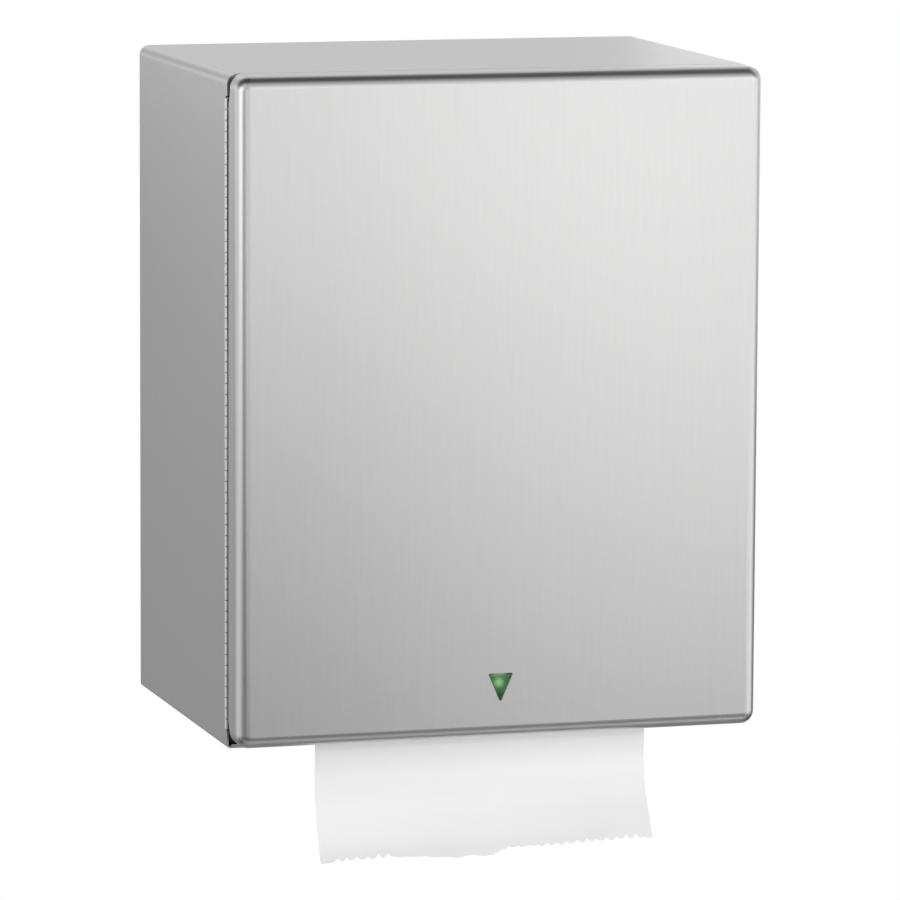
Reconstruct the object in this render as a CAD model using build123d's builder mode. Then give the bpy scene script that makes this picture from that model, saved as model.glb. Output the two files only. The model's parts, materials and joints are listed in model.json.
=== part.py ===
from build123d import *
import os
from math import acos, atan2, cos, degrees, hypot, pi, radians, sin, tan

# Sensor-operated roll towel dispenser, in millimetres.
# The origin is the centre of the wall screw pattern on the back face.
# +Z is up, the front faces -Y, and y = 0 is the wall.

# Case: top and sides wrapped from one steel sheet
case_width = 317.5
case_height = 393.7
case_depth = 210.0
case_sheet = 1.0
case_bend = 6.0
flange_bend = 2.0
bottom_flange = 12.0
front_return = 10.0

# Back panel and its wall screw holes
back_sheet = 1.2
wall_hole_radius = 3.6
wall_hole_pitch_x = 203.2
wall_hole_pitch_z = 279.4

# Bottom panel with the towel slot
bottom_sheet = 1.0
bottom_front_gap = 1.5
slot_depth = 45.0
slot_lip = 8.0

# Drawn steel door
door_depth = 24.0
door_sheet = 1.2
door_gap = 1.0
door_corner = 8.0
door_edge = 7.2
door_bottom_rise = 3.25

# Piano hinge
knuckle_count = 58
knuckle_pitch = 6.35
knuckle_gap = 0.2
barrel_radius = 2.5
barrel_sides = 8
hinge_drop = 1.2
hinge_end_gap = 1.0
hinge_pin_radius = 1.2
pinned_knuckles = 2
leaf_sheet = 1.0
leaf_width = 14.0
leaf_clearance = 0.3
barrel_relief = 1.1
door_cutback = 3.2
cutback_run = 6.0
corner_cutback = 6.5
corner_cut_radius = 16.0
corner_cut_width = 4.0

# Indicator lens on the door
lens_width = 15.4
lens_height = 17.6
lens_top_above_door_bottom = 38.3
lens_corner = 0.8
lens_proud = 1.0
lens_round = 0.5
lens_flange = 2.5
lens_flange_sheet = 1.5
lens_clearance = 0.1
retainer_sheet = 1.2
light_radius = 3.5
light_gap = 3.0

# Cam lock on the right side
lock_setback = 18.0
lock_height = 0.0
lock_body_radius = 9.0
lock_body_length = 18.0
lock_head_radius = 11.0
lock_head = 2.5
lock_nut_size = 22.0
lock_nut = 4.0
plug_radius = 6.0
plug_face_sink = 0.3
key_slot_width = 1.6
key_slot_length = 8.0
key_slot_depth = 12.0
cam_sheet = 2.5
cam_width = 10.0
cam_length = 24.0
keeper_sheet = 2.0
keeper_rise = 12.0
keeper_height = 18.0
keeper_foot = 18.0
keeper_lip = 14.0
keeper_cam_gap = 1.0
keeper_side_gap = 3.2

# Towel roll on its cardboard core
roll_side_gap = 56.15
roll_front_gap = 10.0
roll_rear_gap = 24.0
roll_top_gap = 21.85
core_outer_radius = 22.4
core_inner_radius = 20.5

# Roll arms, hubs and pins
face_gap = 0.3
running_gap = 0.05
hub_flange_radius = 32.0
hub_flange = 6.0
hub_clearance = 0.3
left_plug = 13.0
right_plug = 11.0
right_plug_nose_radius = 17.0
hub_stub_radius = 6.0
hub_stub_proud = 1.5
arm_sheet = 2.5
arm_root_height = 56.0
arm_tip_radius = 17.0
arm_foot = 28.0
eye_radius = 5.0
pivot_radius = 3.0
pivot_back = 14.0
bracket_sheet = 2.5
bracket_width = 28.0
bracket_ear_width = 12.0

# Paper web from the roll to its torn end
web_thickness = 0.4
web_front_gap = 20.0
web_wrap_degrees = 25.0
web_bend_radius = 60.0
web_straight_below_case = 6.0
web_lean = 6.0
tail_drop = 72.0
tail_forward = 22.0

# Drive roller
nip_above_bottom = 68.85
drive_radius = 14.0
grip_count = 2
grip_end_gap = 18.5
grip_space = 38.0
drive_shaft_radius = 4.0

# Pinch rollers and their sprung bracket
pinch_radius = 9.0
pinch_roller_inset = 2.0
pinch_axle_radius = 2.5
pinch_arm_sheet = 2.0
pinch_arm_inset = 2.0
pinch_eye_radius = 6.0
pinch_pivot_forward = 16.0
pinch_pivot_rise = 31.0
trunnion_radius = 2.5
pinch_bar_sheet = 2.0
pinch_bar_forward = 23.0
pinch_bar_rise = 18.0
pinch_bar_drop = 13.0
pinch_grip = 5.0
spring_lug = 4.0
spring_strip = 0.8
spring_width = 4.0
spring_length = 16.0
spring_reach = 12.0
spring_behind_pivot = 18.0
spring_seat_half = 4.0
spring_seat = 3.0

# Gear train on the right of the frame
gear_module = 1.25
drive_teeth = 28
idler_teeth = 20
pinion_teeth = 14
gear_face = 8.0
gear_gap = 1.5
gear_backlash = 0.16
addendum_share = 0.9
dedendum_share = 1.2
pressure_angle = 20.0
idler_angle = -20.0
pinion_angle = -35.0
idler_axle_radius = 3.0
idler_axle_head_radius = 4.5
idler_axle_head = 1.5
motor_shaft_radius = 3.0
motor_gearbox_radius = 18.0
motor_gearbox = 24.0
motor_can_radius = 14.0
motor_can = 28.0

# Feed frame, chute, front cover and tear bar
frame_wall = 4.0
frame_inner_margin = 6.5
frame_length = 112.0
frame_proud = 6.0
frame_top_rise = 41.0
frame_front_lift = 5.0
frame_foot_setback = 5.0
frame_rear_rise = 62.0
frame_rear_width = 24.0
frame_rail_height = 46.0
chute_sheet = 2.0
chute_gap = 3.8
chute_top_gap = 4.0
chute_bend = 12.0
cover_sheet = 2.0
cover_gap = 5.8
cover_depth = 20.0
cover_top_drop = 22.0
cover_bottom_rise = 9.0
cover_corner = 4.0
tear_sheet = 0.8
tear_height = 12.0
tear_tooth_height = 3.6
tear_teeth = 50

# Battery box with four round cells
cell_radius = 16.6
cell_length = 60.0
cell_gap = 0.1
cells_per_column = 2
box_wall = 2.0
cell_room = 0.6
box_side_gap = 2.0
box_front_setback = 10.0
contact_sheet = 0.6
contact_size = 20.0
battery_cover_sheet = 2.0
cover_groove_depth = 1.0
cover_lip = 1.2
cover_slack = 0.2
cover_grip_width = 22.0
cover_grip_height = 4.0
cover_grip_proud = 2.0
cover_grip_drop = 12.0

# Control housing with the feed button and the length switch
housing_width = 34.0
housing_height = 90.0
housing_depth = 19.0
housing_wall = 2.0
housing_lift = 8.85
housing_corner = 3.0
board_sheet = 1.6
button_width = 16.0
button_height = 11.0
button_margin = 1.5
button_flange = 1.5
button_proud = 3.5
button_slack = 0.15
button_travel = 2.0
button_rise_share = 0.70
switch_rise_share = 0.34
knob_width = 5.0
knob_height = 8.0
knob_proud = 2.5
knob_base = 1.5
knob_base_margin = 1.5
knob_travel = 5.0
chip_size = 12.0
chip_height = 2.0

# Hand sensor window in the bottom
sensor_width = 34.0
sensor_depth = 12.0
sensor_setback = 60.0
sensor_flange = 3.0
sensor_flange_sheet = 2.0
sensor_proud = 0.5

# One overrun serves every cut
overrun = 1.0

# Planes and lines that several pieces share
half_width = case_width / 2
inner_x = half_width - case_sheet
top_z = case_height / 2
bottom_z = -top_z
floor_z = bottom_z + case_sheet + bottom_sheet
door_rear_y = -(case_depth + door_gap)
door_front_y = door_rear_y - door_depth
door_inner_y = door_front_y + door_sheet
door_bottom_z = bottom_z + door_bottom_rise
door_height = top_z - door_bottom_z
door_mid_z = (top_z + door_bottom_z) / 2
hinge_x = -half_width + case_sheet
hinge_y = -case_depth
hinge_length = knuckle_count * knuckle_pitch
hinge_bottom_z = -hinge_length / 2 - hinge_drop
hinge_top_z = hinge_bottom_z + hinge_length
lock_y = -(case_depth - lock_setback)
roll_radius = (case_depth - roll_front_gap - roll_rear_gap) / 2
roll_y = -(roll_rear_gap + roll_radius)
roll_z = top_z - case_sheet - roll_top_gap - roll_radius
roll_half = inner_x - roll_side_gap
paper_width = 2 * roll_half
web_y = -(case_depth - web_front_gap)
slot_back = case_depth - slot_depth
sensor_back = case_depth - sensor_setback
frame_front = case_depth + frame_proud
frame_back = frame_front - frame_length
frame_foot_front = case_depth - frame_foot_setback
nip_z = bottom_z + nip_above_bottom
grip_span = paper_width - 2 * grip_end_gap
grip_pitch = (grip_span + grip_space) / grip_count
grip_width = grip_pitch - grip_space
pinch_roller_width = grip_width - 2 * pinch_roller_inset
drive_y = web_y + web_thickness / 2 + face_gap + drive_radius
pinch_y = web_y - web_thickness / 2 - face_gap - pinch_radius
pinch_pivot_y = web_y - pinch_pivot_forward
pinch_pivot_z = nip_z + pinch_pivot_rise
frame_inner = roll_half + frame_inner_margin
frame_outer = frame_inner + frame_wall
left_arm_x = -(roll_half + hub_flange + face_gap)
right_arm_x = roll_half + hub_flange + 2 * face_gap
pivot_x = right_arm_x + arm_sheet
pivot_y = -pivot_back
gear_start = frame_outer + gear_gap
gear_end = gear_start + gear_face
drive_pitch_radius = gear_module * drive_teeth / 2
idler_pitch_radius = gear_module * idler_teeth / 2
pinion_pitch_radius = gear_module * pinion_teeth / 2
drive_idler_distance = drive_pitch_radius + idler_pitch_radius
idler_pinion_distance = idler_pitch_radius + pinion_pitch_radius
idler_y = drive_y + drive_idler_distance * cos(radians(idler_angle))
idler_z = nip_z + drive_idler_distance * sin(radians(idler_angle))
pinion_y = idler_y + idler_pinion_distance * cos(radians(pinion_angle))
pinion_z = idler_z + idler_pinion_distance * sin(radians(pinion_angle))


def bar_x(radius, start, end, y, z, mode=Mode.ADD):
    """A round bar along X from start to end."""
    with Locations(Location((start, y, z), (0, 90, 0))):
        Cylinder(radius, end - start, align=(Align.CENTER, Align.CENTER, Align.MIN), mode=mode)


def bar_y(radius, back, front, x, z, mode=Mode.ADD):
    """A round bar along Y from its back end to its front end."""
    with Locations(Location((x, back, z), (90, 0, 0))):
        Cylinder(radius, back - front, align=(Align.CENTER, Align.CENTER, Align.MIN), mode=mode)


def block(x_range, y_range, z_range, mode=Mode.ADD):
    """A block between two limits on each axis."""
    middle = [(low + high) / 2 for low, high in (x_range, y_range, z_range)]
    size = [abs(high - low) for low, high in (x_range, y_range, z_range)]
    with Locations(tuple(middle)):
        Box(*size, mode=mode)


def finish(part, name):
    """Label a finished piece and write it."""
    part.label = name
    export_step(part, f"parts/{name}.step")


os.makedirs("parts", exist_ok=True)

# Cabinet shell: an inverted U with flanges under the sides and returns at the front
opening_top = top_z - case_sheet - front_return
opening_right = inner_x - front_return
with BuildPart() as cabinet_shell:
    with BuildSketch(Plane.XZ):
        Rectangle(case_width, case_height)
        fillet(vertices().group_by(Axis.Y)[-1], radius=case_bend)
        fillet(vertices().group_by(Axis.Y)[0], radius=flange_bend)
        offset(amount=-case_sheet, mode=Mode.SUBTRACT)
        with Locations((0, bottom_z)):
            Rectangle(case_width - 2 * bottom_flange, 2 * flange_bend, mode=Mode.SUBTRACT)
    extrude(amount=case_depth)
    with BuildSketch(Plane.XZ.offset(case_depth - case_sheet)):
        Rectangle(case_width, case_height)
        fillet(vertices().group_by(Axis.Y)[-1], radius=case_bend)
        with Locations(((opening_right - inner_x) / 2, (opening_top + bottom_z) / 2)):
            Rectangle(opening_right + inner_x, opening_top - bottom_z, mode=Mode.SUBTRACT)
        with Locations((0, bottom_z)):
            Rectangle(case_width, 2 * front_return, mode=Mode.SUBTRACT)
    extrude(amount=case_sheet)
    block(
        (-half_width - overrun, hinge_x),
        (hinge_y - overrun, hinge_y + barrel_radius + barrel_relief),
        (hinge_bottom_z - hinge_end_gap, hinge_top_z + hinge_end_gap),
        mode=Mode.SUBTRACT,
    )
    bar_x(
        lock_body_radius + running_gap,
        inner_x - overrun,
        half_width + overrun,
        lock_y,
        lock_height,
        Mode.SUBTRACT,
    )
finish(cabinet_shell.part, "cabinet_shell")

# Back panel inside the wrap, with the four wall screw holes
back_bottom = bottom_z + case_sheet
back_top = top_z - case_sheet
with BuildPart() as back_panel:
    with BuildSketch(Plane.XZ):
        with Locations((0, (back_bottom + back_top) / 2)):
            Rectangle(2 * inner_x, back_top - back_bottom)
        fillet(vertices().group_by(Axis.Y)[-1], radius=case_bend)
        fillet(vertices().group_by(Axis.Y)[0], radius=flange_bend)
        with GridLocations(wall_hole_pitch_x, wall_hole_pitch_z, 2, 2):
            Circle(wall_hole_radius, mode=Mode.SUBTRACT)
    extrude(amount=back_sheet)
finish(back_panel.part, "back_panel")

# Bottom panel on the side flanges, with the towel slot, its lip and the sensor hole
panel_front = -(case_depth - bottom_front_gap)
panel_half_width = inner_x - flange_bend
with BuildPart() as bottom_panel:
    block(
        (-panel_half_width, panel_half_width),
        (-back_sheet, panel_front),
        (floor_z - bottom_sheet, floor_z),
    )
    block(
        (-frame_inner, frame_inner),
        (-slot_back, panel_front - overrun),
        (floor_z - bottom_sheet - overrun, floor_z + overrun),
        mode=Mode.SUBTRACT,
    )
    block(
        (-frame_inner, frame_inner),
        (-slot_back + bottom_sheet, -slot_back),
        (floor_z - bottom_sheet, floor_z + slot_lip),
    )
    block(
        (-sensor_width / 2, sensor_width / 2),
        (-sensor_back - sensor_depth / 2, -sensor_back + sensor_depth / 2),
        (floor_z - bottom_sheet - overrun, floor_z + overrun),
        mode=Mode.SUBTRACT,
    )
finish(bottom_panel.part, "bottom_panel")

# Door: a drawn pan, cut back beside the hinge and further at its two corners
lens_top_z = door_bottom_z + lens_top_above_door_bottom
lens_mid_z = lens_top_z - lens_height / 2
lens_points = [
    (-lens_width / 2, lens_height / 2),
    (lens_width / 2, lens_height / 2),
    (0, -lens_height / 2),
]
lens_plane = Plane(origin=(0, door_front_y, lens_mid_z), x_dir=(1, 0, 0), z_dir=(0, -1, 0))
with BuildPart() as door_panel:
    with BuildSketch(Plane.XZ.offset(-door_rear_y)):
        with Locations((0, door_mid_z)):
            RectangleRounded(case_width, door_height, door_corner)
    extrude(amount=door_depth)
    fillet(faces().sort_by(Axis.Y)[0].edges(), radius=door_edge)
    offset(amount=-door_sheet, openings=faces().sort_by(Axis.Y)[-1])
    with BuildSketch(Plane.XY.offset(door_bottom_z - overrun)):
        with BuildLine():
            Polyline(
                (-half_width - overrun, hinge_y),
                (hinge_x + door_cutback + cutback_run, hinge_y),
                (hinge_x + door_cutback + cutback_run, door_rear_y),
                (hinge_x + door_cutback, hinge_y - door_cutback),
                (-half_width - overrun, hinge_y - door_cutback),
                close=True,
            )
        make_face()
    extrude(amount=door_height + 2 * overrun, mode=Mode.SUBTRACT)
    for end_z in (
        (hinge_top_z + top_z) / 2,
        (hinge_bottom_z + door_bottom_z) / 2,
    ):
        bar_x(
            corner_cut_radius,
            -half_width - overrun,
            -half_width + corner_cut_width,
            hinge_y - corner_cutback + corner_cut_radius,
            end_z,
            Mode.SUBTRACT,
        )
    with BuildSketch(lens_plane):
        with BuildLine():
            Polyline(*lens_points, close=True)
        make_face()
        fillet(vertices(), radius=lens_corner)
    extrude(amount=-2 * door_sheet, mode=Mode.SUBTRACT)
finish(door_panel.part, "door_panel")

# Indicator lens: a domed triangle with a flange behind the door sheet
lens_back_y = door_inner_y + lens_flange_sheet
with BuildPart() as indicator_lens:
    with BuildSketch(lens_plane.offset(-door_sheet)):
        with BuildLine():
            Polyline(*lens_points, close=True)
        make_face()
        fillet(vertices(), radius=lens_corner)
        offset(amount=-lens_clearance, mode=Mode.REPLACE)
    extrude(amount=door_sheet + lens_proud)
    fillet(faces().sort_by(Axis.Y)[0].edges(), radius=lens_round)
    with BuildSketch(lens_plane.offset(-door_sheet)):
        with BuildLine():
            Polyline(*lens_points, close=True)
        make_face()
        offset(amount=lens_flange, mode=Mode.REPLACE)
    extrude(amount=-lens_flange_sheet)
finish(indicator_lens.part, "indicator_lens")

# Lens retainer: a ring that is pushed over the flange
with BuildPart() as lens_retainer:
    with BuildSketch(lens_plane.offset(-door_sheet - lens_flange_sheet)):
        with BuildLine():
            Polyline(*lens_points, close=True)
        make_face()
        offset(amount=2 * lens_flange, mode=Mode.REPLACE)
        with BuildLine():
            Polyline(*lens_points, close=True)
        make_face(mode=Mode.SUBTRACT)
    extrude(amount=-retainer_sheet)
finish(lens_retainer.part, "lens_retainer")


# Piano hinge: two leaves with alternate knuckles on one barrel line
def knuckle_planes(first):
    """The plane at the foot of every second knuckle, starting with the given one."""
    start = hinge_bottom_z + knuckle_gap / 2
    return [Plane.XY.offset(start + number * knuckle_pitch) for number in range(first, knuckle_count, 2)]


knuckle_length = knuckle_pitch - knuckle_gap
leaf_start = barrel_radius + leaf_clearance
pin_reach = pinned_knuckles * knuckle_pitch
pin_hole_radius = hinge_pin_radius + running_gap

with BuildPart() as hinge_leaf_cabinet:
    with BuildSketch(*knuckle_planes(0)):
        with Locations((hinge_x, hinge_y)):
            RegularPolygon(barrel_radius, barrel_sides)
            Rectangle(leaf_sheet, leaf_start, align=Align.MIN)
    extrude(amount=knuckle_length)
    block(
        (hinge_x, hinge_x + leaf_sheet),
        (hinge_y + leaf_start, hinge_y + leaf_width),
        (hinge_bottom_z, hinge_top_z),
    )
    for pin_start in (hinge_bottom_z, hinge_top_z - pin_reach):
        with BuildSketch(Plane.XY.offset(pin_start)):
            with Locations((hinge_x, hinge_y)):
                RegularPolygon(pin_hole_radius, barrel_sides, major_radius=False)
        extrude(amount=pin_reach, mode=Mode.SUBTRACT)
finish(hinge_leaf_cabinet.part, "hinge_leaf_cabinet")

door_leaf_x = -half_width + door_sheet
with BuildPart() as hinge_leaf_door:
    with BuildSketch(*knuckle_planes(1)):
        with Locations((hinge_x, hinge_y)):
            RegularPolygon(barrel_radius, barrel_sides)
        with Locations((door_leaf_x, hinge_y)):
            Rectangle(leaf_sheet, leaf_start, align=(Align.MIN, Align.MAX))
    extrude(amount=knuckle_length)
    block(
        (door_leaf_x, door_leaf_x + leaf_sheet),
        (hinge_y - leaf_start, hinge_y - leaf_width),
        (hinge_bottom_z, hinge_top_z),
    )
    for pin_start in (hinge_bottom_z, hinge_top_z - pin_reach):
        with BuildSketch(Plane.XY.offset(pin_start)):
            with Locations((hinge_x, hinge_y)):
                RegularPolygon(pin_hole_radius, barrel_sides, major_radius=False)
        extrude(amount=pin_reach, mode=Mode.SUBTRACT)
finish(hinge_leaf_door.part, "hinge_leaf_door")

# Hinge pin: a length in the last two knuckles at each end
with BuildPart() as hinge_pin:
    with Locations((hinge_x, hinge_y, hinge_bottom_z)):
        Cylinder(hinge_pin_radius, pin_reach, align=(Align.CENTER, Align.CENTER, Align.MIN))
    with Locations((hinge_x, hinge_y, hinge_top_z)):
        Cylinder(hinge_pin_radius, pin_reach, align=(Align.CENTER, Align.CENTER, Align.MAX))
finish(hinge_pin.part, "hinge_pin")

# Cam lock: barrel with its nut in the right wall, plug and cam that turn together
lock_body_end = inner_x - lock_body_length
plug_front = half_width + lock_head - plug_face_sink
cam_outer_x = lock_body_end - face_gap
cam_inner_x = cam_outer_x - cam_sheet
with BuildPart() as lock_barrel:
    bar_x(lock_body_radius, lock_body_end, half_width, lock_y, lock_height)
    bar_x(lock_head_radius, half_width, half_width + lock_head, lock_y, lock_height)
    with BuildSketch(Plane.YZ.offset(inner_x)):
        with Locations((lock_y, lock_height)):
            RegularPolygon(lock_nut_size / 2, 6, major_radius=False)
    extrude(amount=-lock_nut)
    bar_x(
        plug_radius + running_gap,
        lock_body_end - overrun,
        half_width + lock_head + overrun,
        lock_y,
        lock_height,
        Mode.SUBTRACT,
    )
finish(lock_barrel.part, "lock_barrel")

with BuildPart() as lock_plug:
    bar_x(plug_radius, cam_outer_x, plug_front, lock_y, lock_height)
    block(
        (plug_front - key_slot_depth, plug_front + overrun),
        (lock_y - key_slot_width / 2, lock_y + key_slot_width / 2),
        (lock_height - key_slot_length / 2, lock_height + key_slot_length / 2),
        mode=Mode.SUBTRACT,
    )
finish(lock_plug.part, "lock_plug")

with BuildPart() as lock_cam:
    with BuildSketch(Plane.YZ.offset(cam_inner_x)):
        with Locations((lock_y, lock_height)):
            Circle(plug_radius)
        with Locations((lock_y - cam_length + cam_width / 2, lock_height)):
            Circle(cam_width / 2)
        make_hull()
    extrude(amount=cam_sheet)
finish(lock_cam.part, "lock_cam")

# Lock keeper on the door: a foot, a leg into the case and a lip behind the turned cam
keeper_outer_x = opening_right - keeper_side_gap
keeper_lip_y = lock_y + cam_width / 2 + keeper_cam_gap
keeper_z = (lock_height + keeper_rise, lock_height + keeper_rise + keeper_height)
keeper_inner_x = keeper_outer_x - keeper_sheet
with BuildPart() as lock_keeper:
    block((keeper_inner_x, keeper_outer_x), (door_inner_y, keeper_lip_y + keeper_sheet), keeper_z)
    block(
        (keeper_outer_x - keeper_foot, keeper_outer_x),
        (door_inner_y, door_inner_y + keeper_sheet),
        keeper_z,
    )
    block(
        (keeper_outer_x - keeper_lip, keeper_outer_x),
        (keeper_lip_y, keeper_lip_y + keeper_sheet),
        keeper_z,
    )
    fillet(edges().filter_by(Axis.Z).group_by(Axis.X)[-1], radius=keeper_sheet)
finish(lock_keeper.part, "lock_keeper")

# Towel roll and its cardboard core
with BuildPart() as towel_roll:
    bar_x(roll_radius, -roll_half, roll_half, roll_y, roll_z)
    bar_x(core_outer_radius, -roll_half - overrun, roll_half + overrun, roll_y, roll_z, Mode.SUBTRACT)
finish(towel_roll.part, "towel_roll")

with BuildPart() as roll_core:
    bar_x(core_outer_radius, -roll_half, roll_half, roll_y, roll_z)
    bar_x(core_inner_radius, -roll_half - overrun, roll_half + overrun, roll_y, roll_z, Mode.SUBTRACT)
finish(roll_core.part, "roll_core")

# Core hubs on their stubs: the left one seats on the roll, the right one tapers to swing clear
plug_fit_radius = core_inner_radius - hub_clearance
left_hub_end = -roll_half + left_plug
arm_outer_left = left_arm_x - arm_sheet
arm_outer_right = right_arm_x + arm_sheet
with BuildPart() as core_hub_left:
    bar_x(plug_fit_radius, -roll_half, left_hub_end, roll_y, roll_z)
    bar_x(hub_flange_radius, -roll_half - hub_flange, -roll_half, roll_y, roll_z)
    bar_x(hub_stub_radius, arm_outer_left - hub_stub_proud, -roll_half - hub_flange, roll_y, roll_z)
finish(core_hub_left.part, "core_hub_left")

right_flange_x = roll_half + face_gap
right_hub_end = right_flange_x - right_plug
with BuildPart() as core_hub_right:
    with Locations(Location((right_hub_end, roll_y, roll_z), (0, 90, 0))):
        Cone(
            right_plug_nose_radius,
            plug_fit_radius,
            right_plug,
            align=(Align.CENTER, Align.CENTER, Align.MIN),
        )
    bar_x(hub_flange_radius, right_flange_x, right_flange_x + hub_flange, roll_y, roll_z)
    bar_x(hub_stub_radius, right_flange_x + hub_flange, arm_outer_right + hub_stub_proud, roll_y, roll_z)
finish(core_hub_right.part, "core_hub_right")

# Left roll arm: a bent steel bracket on the back panel
with BuildPart() as roll_arm_left:
    with BuildSketch(Plane.YZ.offset(left_arm_x)):
        with Locations((roll_y, roll_z)):
            Circle(arm_tip_radius)
        with Locations((-back_sheet, roll_z)):
            Rectangle(arm_sheet, arm_root_height, align=(Align.MAX, Align.CENTER))
        make_hull()
        with Locations((roll_y, roll_z)):
            Circle(hub_stub_radius + running_gap, mode=Mode.SUBTRACT)
    extrude(amount=-arm_sheet)
    block(
        (arm_outer_left + arm_sheet - arm_foot, left_arm_x),
        (-back_sheet, -back_sheet - arm_sheet),
        (roll_z - arm_root_height / 2, roll_z + arm_root_height / 2),
    )
finish(roll_arm_left.part, "roll_arm_left")

# Right roll arm: it swings out on a vertical pin at the back
with BuildPart() as roll_arm_right:
    with BuildSketch(Plane.YZ.offset(right_arm_x)):
        with Locations((roll_y, roll_z)):
            Circle(arm_tip_radius)
        with Locations((pivot_y, roll_z)):
            Rectangle(arm_sheet, arm_root_height)
        make_hull()
        with Locations((roll_y, roll_z)):
            Circle(hub_stub_radius + running_gap, mode=Mode.SUBTRACT)
    extrude(amount=arm_sheet)
    with Locations((pivot_x, pivot_y, roll_z)):
        Cylinder(eye_radius, arm_root_height)
        Cylinder(pivot_radius + running_gap, arm_root_height, mode=Mode.SUBTRACT)
finish(roll_arm_right.part, "roll_arm_right")

# Right arm bracket: a plate on the back panel with an ear above and below the eye
bracket_half_height = arm_root_height / 2 + face_gap + bracket_sheet
with BuildPart() as arm_bracket_right:
    block(
        (pivot_x - bracket_width / 2, pivot_x + bracket_width / 2),
        (-back_sheet, -back_sheet - bracket_sheet),
        (roll_z - bracket_half_height, roll_z + bracket_half_height),
    )
    for ear_z in (roll_z - bracket_half_height, roll_z + bracket_half_height - bracket_sheet):
        block(
            (pivot_x - bracket_ear_width / 2, pivot_x + bracket_ear_width / 2),
            (-back_sheet, pivot_y - bracket_ear_width / 2),
            (ear_z, ear_z + bracket_sheet),
        )
    with Locations((pivot_x, pivot_y, roll_z)):
        Cylinder(pivot_radius, 2 * bracket_half_height, mode=Mode.SUBTRACT)
finish(arm_bracket_right.part, "arm_bracket_right")

with BuildPart() as arm_pivot_pin:
    with Locations((pivot_x, pivot_y, roll_z)):
        Cylinder(pivot_radius, 2 * bracket_half_height)
finish(arm_pivot_pin.part, "arm_pivot_pin")

# Paper web: off the front of the roll, through the nip and the slot, and a curled tail
wrap_radius = roll_radius + face_gap + web_thickness / 2
nip_distance = hypot(web_y - roll_y, nip_z - roll_z)
nip_bearing = atan2(nip_z - roll_z, web_y - roll_y)
leave_bearing = nip_bearing - acos(wrap_radius / nip_distance)
leave_point = (
    roll_y + wrap_radius * cos(leave_bearing),
    roll_z + wrap_radius * sin(leave_bearing),
)
slot_point = (web_y - web_lean, bottom_z - web_straight_below_case)
tail_point = (web_y - tail_forward, bottom_z - tail_drop)
wrap_start_bearing = leave_bearing - radians(web_wrap_degrees)
with BuildPart() as paper_web:
    with BuildSketch(Plane.YZ.offset(-roll_half)):
        with BuildLine():
            CenterArc((roll_y, roll_z), wrap_radius, degrees(wrap_start_bearing), web_wrap_degrees)
            FilletPolyline(leave_point, (web_y, nip_z), slot_point, radius=web_bend_radius)
            TangentArc(slot_point, tail_point, tangent=(-web_lean, slot_point[1] - nip_z))
        trace(line_width=web_thickness)
    extrude(amount=paper_width)
finish(paper_web.part, "paper_web")

# Feed frame: two side plates, a rear rail and the seats of the pinch springs
frame_top_z = nip_z + frame_top_rise
frame_rear_z = floor_z + frame_rear_rise
spring_y = pinch_pivot_y + spring_behind_pivot
spring_outer_x = frame_inner - face_gap
spring_inner_x = spring_outer_x - spring_width
lug_bottom_z = pinch_pivot_z - spring_lug / 2
seat_top_z = lug_bottom_z - spring_length
with BuildPart() as feed_frame:
    with BuildSketch(Plane.YZ.offset(frame_inner)):
        with BuildLine():
            Polyline(
                (-frame_back, floor_z),
                (-frame_foot_front, floor_z),
                (-frame_front, floor_z + frame_front_lift),
                (-frame_front, frame_top_z),
                (pinch_pivot_y + spring_behind_pivot, frame_top_z),
                (-frame_back - frame_rear_width, frame_rear_z),
                (-frame_back, frame_rear_z),
                close=True,
            )
        make_face()
        with Locations((drive_y, nip_z)):
            Circle(drive_shaft_radius + running_gap, mode=Mode.SUBTRACT)
        with Locations((pinch_pivot_y, pinch_pivot_z)):
            Circle(trunnion_radius + running_gap, mode=Mode.SUBTRACT)
    extrude(amount=frame_wall)
    block(
        (spring_inner_x, frame_inner),
        (spring_y - spring_seat_half, spring_y + spring_seat_half),
        (seat_top_z - spring_seat, seat_top_z),
    )
    mirror(about=Plane.YZ)
    block(
        (-frame_inner, frame_inner),
        (-frame_back, -frame_back - frame_wall),
        (floor_z, floor_z + frame_rail_height),
    )
    bar_x(
        motor_shaft_radius + running_gap,
        frame_inner - overrun,
        frame_outer + overrun,
        pinion_y,
        pinion_z,
        Mode.SUBTRACT,
    )
finish(feed_frame.part, "feed_frame")

# Paper chute behind the web, with its top edge bent back
chute_front_y = web_y + web_thickness / 2 + chute_gap
chute_top_z = nip_z - drive_radius - chute_top_gap
with BuildPart() as paper_chute:
    with BuildSketch(Plane.YZ.offset(-frame_inner)):
        with BuildLine():
            Polyline(
                (chute_front_y, floor_z),
                (chute_front_y, chute_top_z - chute_bend),
                (chute_front_y + chute_bend, chute_top_z),
                (chute_front_y + chute_bend + chute_sheet, chute_top_z),
                (chute_front_y + chute_sheet, chute_top_z - chute_bend - chute_sheet / 2),
                (chute_front_y + chute_sheet, floor_z),
                close=True,
            )
        make_face()
    extrude(amount=2 * frame_inner)
finish(paper_chute.part, "paper_chute")

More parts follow.
